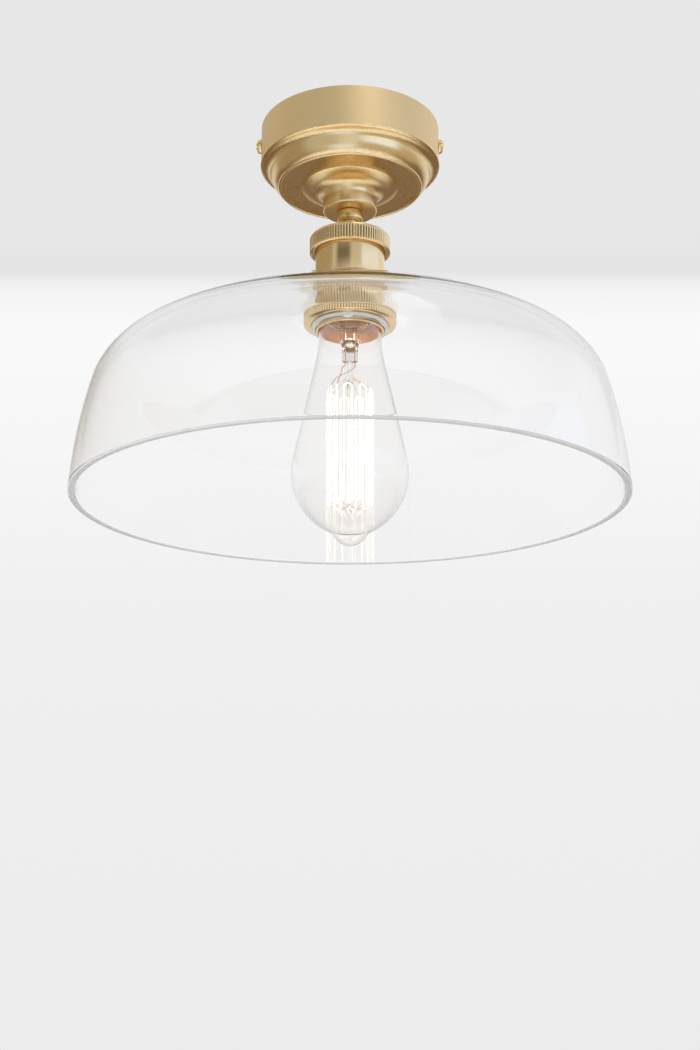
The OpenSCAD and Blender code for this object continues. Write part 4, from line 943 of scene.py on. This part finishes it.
def filament():
    """One wound wire that runs down a strand, round a hook, and up the next."""
    path = []
    for k in range(STRANDS):
        down = k % 2 == 0
        first, last, way = (CAGE_TOP, CAGE_LOW, 1) if down else (CAGE_LOW, CAGE_TOP, -1)
        a = strand_angle(k)
        sag = 0.25 if k % 3 == 0 else -0.15
        path += [cage_point(a, first + way * (0 if k == 0 else BEND)),
                 cage_point(a + sag, (first + last) / 2, CAGE_R - 0.1),
                 cage_point(a, last - way * (0 if k == STRANDS - 1 else BEND))]
        if k < STRANDS - 1:
            for i in range(1, 6):
                turn = pi * i / 6
                path.append(cage_point(a + STEP * (0.5 - 0.5 * cos(turn)),
                                       last - way * BEND * (1 - sin(turn)),
                                       CAGE_R - 0.5 * sin(turn)))
    piece = wire_curve("wound_filament", path)
    piece = grown(piece, winding, {"Coil Radius": 0.00022, "Coil Pitch": 0.0005, "Wire Radius": 0.00012,
                                   "Points a Turn": 6, "Wire Sides": 4, "Material": hot_wire}, 80.0)
    made(piece, "lamp", "filament_metal", "lamp_filament")


def hook(name, bead_drop, cage_drop, way):
    """A thin arm from a bead out to a strand's bend, with a small open eye at its end."""
    reach, fall = CAGE_R - 0.5, cage_drop - bead_drop
    points = smooth_path([(1.6, 0, -bead_drop), (4.0, 0, -bead_drop - fall * 0.15),
                          (8.5, 0, -bead_drop - fall * 0.62),
                          (reach - 0.6, 0, -cage_drop + way * 0.2),
                          (reach + 0.1, 0, -cage_drop + way * 0.1),
                          (reach + 0.45, 0, -cage_drop - way * 0.35),
                          (reach + 0.2, 0, -cage_drop - way * 0.75),
                          (reach - 0.25, 0, -cage_drop - way * 0.6)], 4)
    return plain_mesh(wire_curve(name, points, 0.16), lead_metal, 80.0)


def supports():
    """Hooks spread from the two beads: one under each lower bend and over each upper bend."""
    rings = []
    for name, bead, cage, way, count, first in (("low_hook", BEAD_LOW, CAGE_LOW, 1, STRANDS // 2, 0),
                                                ("high_hook", BEAD_HIGH, CAGE_TOP, -1, STRANDS // 2 - 1, 1)):
        sizes = {"Count": count, "First Angle": radians(strand_angle(first) + STEP / 2),
                 "Angle Step": radians(2 * STEP), "Material": lead_metal}
        rings.append(grown(hook(name, bead, cage, way), spokes, sizes, 80.0))
    made(joined("cage_hooks", rings), "lamp", "lead_metal", "lamp_supports")


def leads():
    """Two lead wires from the cap through the press to the filament's ends."""
    first, last = cage_point(strand_angle(0), CAGE_TOP), cage_point(strand_angle(STRANDS - 1), CAGE_TOP)
    a = [(-2.6, 0, -97.5), (-2.6, 0, -124.45), (-2.6, 0, -PRESS_LOW), (-4.0, -0.8, -144.05),
         (first[0] * 0.75, first[1] * 0.75, -151.5), first]
    b = [(2.6, 0, -97.5), (2.6, 0, -124.45), (2.6, 0, -PRESS_LOW), (3.0, -1.5, -143.65),
         (0.6, -3.4, -146.95), (last[0] * 0.75, last[1] * 0.75, -152.5), last]
    wires = [plain_mesh(wire_curve(n, smooth_path(p, 8), 0.28), lead_metal, 80.0)
             for n, p in (("lead_a", a), ("lead_b", b))]
    made(joined("lead_wires", wires), "lamp", "lead_metal", "lamp_leads")


# Side screws

def side_screw(side, name, node, body):
    """Domed slotted screw that lies along X: side is -1 for the left and 1 for the right."""
    head = [(0.0, 0.0), (3.9, 0.0), (3.9, 0.35)] + arc(0.0, 0.35, 3.9, 1.65, 4, 90, 16)
    head[-1] = (0.0, 2.0)
    shank = [(0.0, 0.1), (1.9, 0.1), (1.9, -8.6), (1.5, -9.0), (0.0, -9.0)]
    dome_head = lathe(name + "_head", soften(head, 0.2), 72, bright_brass)
    corners = [(x, y, z) for x in (-5, 5) for y in (-0.42, 0.42) for z in (1.2, 3)]
    faces = [(0, 1, 3, 2), (4, 6, 7, 5), (0, 4, 5, 1), (2, 3, 7, 6), (0, 2, 6, 4), (1, 5, 7, 3)]
    cutter = mesh_object(name + "_cutter", corners, faces, bright_brass)
    slot = dome_head.modifiers.new("slot", "BOOLEAN")
    slot.operation, slot.object, slot.solver = "DIFFERENCE", cutter, "EXACT"
    dome_head = plain_mesh(dome_head, bright_brass, 40.0)
    bpy.data.objects.remove(cutter)
    stem_part = lathe(name + "_shank", dense(soften(shank, 0.1), 0.16), 48, bright_brass)
    stem_part = threaded(stem_part, bright_brass, 0.7, 0.9, top=0.2, low=8.8, inner=1.7, depth=0.3, fade=0.4)
    piece = joined(name, [dome_head, stem_part])
    seat, slot_angle = Matrix.Translation((side * 51.85 * MM, 0, -9.4 * MM)), radians(62.0)
    piece.data.transform(seat @ Matrix.Rotation(radians(90.0 * side), 4, "Y")
                         @ Matrix.Rotation(slot_angle, 4, "Z"))
    made(piece, body, "bright_brass", node)


# World, floor, lamps and camera

BACKDROP = (
    # how far up from straight down to straight up, and how bright
    (0.0, 0.82), (0.45, 0.84), (0.543, 0.855), (0.597, 0.872), (0.638, 0.915), (0.686, 0.955),
    (0.6975, 0.90), (0.7025, 0.81), (0.7038, 0.74), (0.7052, 0.775), (0.712, 0.80), (1.0, 0.81),
)
PANELS = (
    # colour, side, half width, lowest and highest elevation and soft edge, all in degrees
    ((0.36, 0.28, 0.19), 0, 180, -90, -10, 6),
    ((0.90, 0.90, 0.91), 180, 70, 3, 60, 8),
    ((0.22, 0.15, 0.09), 180, 75, -65, -10, 8),
    ((0.64, 0.64, 0.65), 0, 180, 52, 90, 6),
    ((0.40, 0.33, 0.25), -92, 32, -32, 15, 5),
    ((0.60, 0.61, 0.58), -45, 18, -46, 12, 6),
    ((0.60, 0.53, 0.40), 46, 30, -62, -18, 5),
    ((0.84, 0.88, 0.94), -2, 14, -24, 16, 5),
    ((1.00, 1.18, 1.60), -9, 20, -76, -25, 4),
    ((1.10, 1.36, 1.95), 42, 25, -14, 11, 3),
    ((0.56, 0.48, 0.36), 90, 15, -30, 8, 5),
    ((0.95, 1.12, 1.55), 74, 36, 14, 27.5, 3),
    ((0.42, 0.35, 0.25), -110, 50, 16, 31, 4),
    ((0.07, 0.045, 0.02), -21, 22, 16, 29, 6),
    ((3.00, 3.00, 3.00), 30, 16, 47, 74, 3),
)
SOFTBOXES = (
    # name, place, height it points at, width and height, all in metres, and power in watts
    ("left_softbox", (-1.25, -0.55, 0.05), -0.1, 0.9, 1.3, 17.0),
    ("right_softbox", (1.15, -0.35, -0.15), -0.1, 0.28, 1.3, 9.0),
    ("low_softbox", (-0.35, -0.9, -1.15), -0.1, 0.9, 0.5, 7.0),
    ("back_softbox", (0.5, 1.3, 0.1), -0.15, 1.6, 0.9, 7.0),
)
FLOOR_DEPTH, FLOOR_RADIUS, FLOOR_GLOW = 1350, 7000, 0.38


def backdrop(t, parts):
    """Seen behind the light: a pale wall that glows below the ceiling's straight edge."""
    rise = t.split(t.vector("NORMALIZE", t.packed(0.0, parts[1], parts[2])))[2]
    ramp = t.add("ShaderNodeValToRGB", {0: t.ranged(rise, -1.0, 1.0)})
    elements = ramp.color_ramp.elements
    while len(elements) < len(BACKDROP):
        elements.new(0.5)
    for element, (at, level) in zip(elements, BACKDROP):
        element.position, element.color = at, (level, level, level * 1.003, 1.0)
    return ramp.outputs[0]


def mirrored_room(t, parts):
    """Mirrored in metal and glass: a pale room with a brown floor and bluish windows.

    It is painted panel by panel, each with soft edges. A panel's side is 0 towards the viewer
    and 90 to the right.
    """
    flat = t.vector("NORMALIZE", t.packed(parts[0], parts[1]))
    room = (0.62, 0.625, 0.615)
    for colour, side, half, low, high, soft in PANELS:
        near = t.vector("DOT_PRODUCT", flat, (sin(radians(side)), -cos(radians(side)), 0.0))
        mask = t.ranged(near, cos(radians(min(180, half + soft))), cos(radians(max(0, half - soft))),
                        soft=True)
        for edge, inward in ((low, soft), (high, -soft)):
            if -89 < edge < 89:
                inside = t.ranged(parts[2], sin(radians(edge - inward)), sin(radians(edge + inward)),
                                  soft=True)
                mask = t.maths("MULTIPLY", mask, inside)
        room = t.blended(mask, room, colour)
    return room


def studio_world():
    """The backdrop for the camera, the room for mirrors, and an even light for all else."""
    world = bpy.data.worlds.new("studio")
    bpy.context.scene.world = world
    world.use_nodes = True
    world.node_tree.nodes.clear()
    t = Nodes(world.node_tree)

    def background(colour, strength=1.0):
        return t.first("ShaderNodeBackground", {"Color": colour, "Strength": strength})

    parts = t.split(t.outputs("ShaderNodeTexCoord")["Generated"])
    shown, mirrored = background(backdrop(t, parts)), background(mirrored_room(t, parts))
    even = background((0.93, 0.95, 1.0, 1.0), 0.55)
    glossy = t.outputs("ShaderNodeLightPath")["Is Glossy Ray"]
    other = t.first("ShaderNodeMixShader", {0: glossy, 1: even, 2: mirrored})
    whole = t.first("ShaderNodeMixShader", {0: t.looked_at(), 1: other, 2: shown})
    t.add("ShaderNodeOutputWorld", {"Surface": whole})


def floor():
    """A pale floor. Its own light lifts it to the wall's level, and shadows still fall on it."""
    f = Finish("floor_paint")
    cloud = f.group(patches, Patches_a_Metre=3.0, Contrast=0.5)
    paint = f.feed(Base_Color=f.blended(cloud, (0.82, 0.82, 0.82), (0.80, 0.80, 0.805)),
                   Roughness=f.between(cloud, 0.7, 0.8),
                   Emission_Color=f.blended(cloud, (1.0, 1.0, 1.0), (0.98, 0.98, 0.985)),
                   Emission_Strength=f.between(f.looked_at(), 0.0, FLOOR_GLOW))
    sides = 96
    corners = [(FLOOR_RADIUS * cos(TAU * k / sides), FLOOR_RADIUS * sin(TAU * k / sides),
                -FLOOR_DEPTH) for k in range(sides)]
    piece = mesh_object("floor", corners, [list(range(sides))], paint)
    piece.visible_glossy = False


def lamps():
    """Four softboxes round the light, and a small lamp for the glow of the filament."""
    for name, place, aim, width, height, power in SOFTBOXES:
        data = bpy.data.lights.new(name, "AREA")
        data.shape, data.size, data.size_y, data.energy = "RECTANGLE", width, height, power
        lamp = add_object(name, data)
        lamp.location = place
        lamp.rotation_mode = "QUATERNION"
        lamp.rotation_quaternion = (Vector((0, 0, aim)) - Vector(place)).to_track_quat("-Z", "Y")
        lamp.visible_camera = lamp.visible_glossy = lamp.visible_transmission = False
    data = bpy.data.lights.new("filament_glow", "POINT")
    data.energy, data.color, data.shadow_soft_size = 0.009, (1.0, 0.66, 0.41), 0.003
    lamp = add_object("filament_glow", data)
    lamp.location = (0.0, 0.0, -GLOW_AT * MM)
    lamp.visible_camera = lamp.visible_transmission = False


def camera():
    """The photograph's view: a 50 mm lens on a full frame, 14 degrees up from level."""
    scene = bpy.context.scene
    data = bpy.data.cameras.new("camera")
    data.lens, data.sensor_width, data.sensor_fit = 50.0, 36.0, "AUTO"
    data.clip_start, data.clip_end = 0.01, 60.0
    scene.camera = add_object("camera", data)
    scene.camera.location = (0.0, -0.76021, -0.42421)
    look_up = 14.084
    scene.camera.rotation_euler = (radians(90 + look_up), 0.0, 0.0)


bpy.context.scene.view_settings.view_transform = "Standard"
for build in (studio_world, floor, lamps, camera, rose, boss, collar, threaded_nipple, holder_cap, barrel,
              sleeve, clamp_ring, liner, dome, lamp_cap_shell, bulb, stem, filament, supports, leads):
    build()
side_screw(-1, "left_screw_brass", "side_screw_left", "left_screw")
side_screw(1, "right_screw_brass", "side_screw_right", "right_screw")

KEPT = {
    zinc_steel: ("ceiling_bracket", "nipple_nut", "lock_washer", "block_screws", "block_fixing",
                 "core_carrier", "carrier_screws", "terminal_screws"),
    bright_brass: ("earth_tag", "block_inserts", "holder_terminals", "screw_shell", "spring_contact",
                   "side_washer_left", "side_washer_right"),
    rubber: ("cable_grommet",), plastic: ("terminal_block",), porcelain: ("porcelain_core",),
    brown_sleeve: ("live_wire",), blue_sleeve: ("neutral_wire",), earth_sleeve: ("earth_wire",),
    silicone: ("shade_washer",), solder: ("lamp_contact",), vitrite: ("lamp_insulator",),
}
for material, names in KEPT.items():
    for name in names:
        painted(nodes[name].data, material)
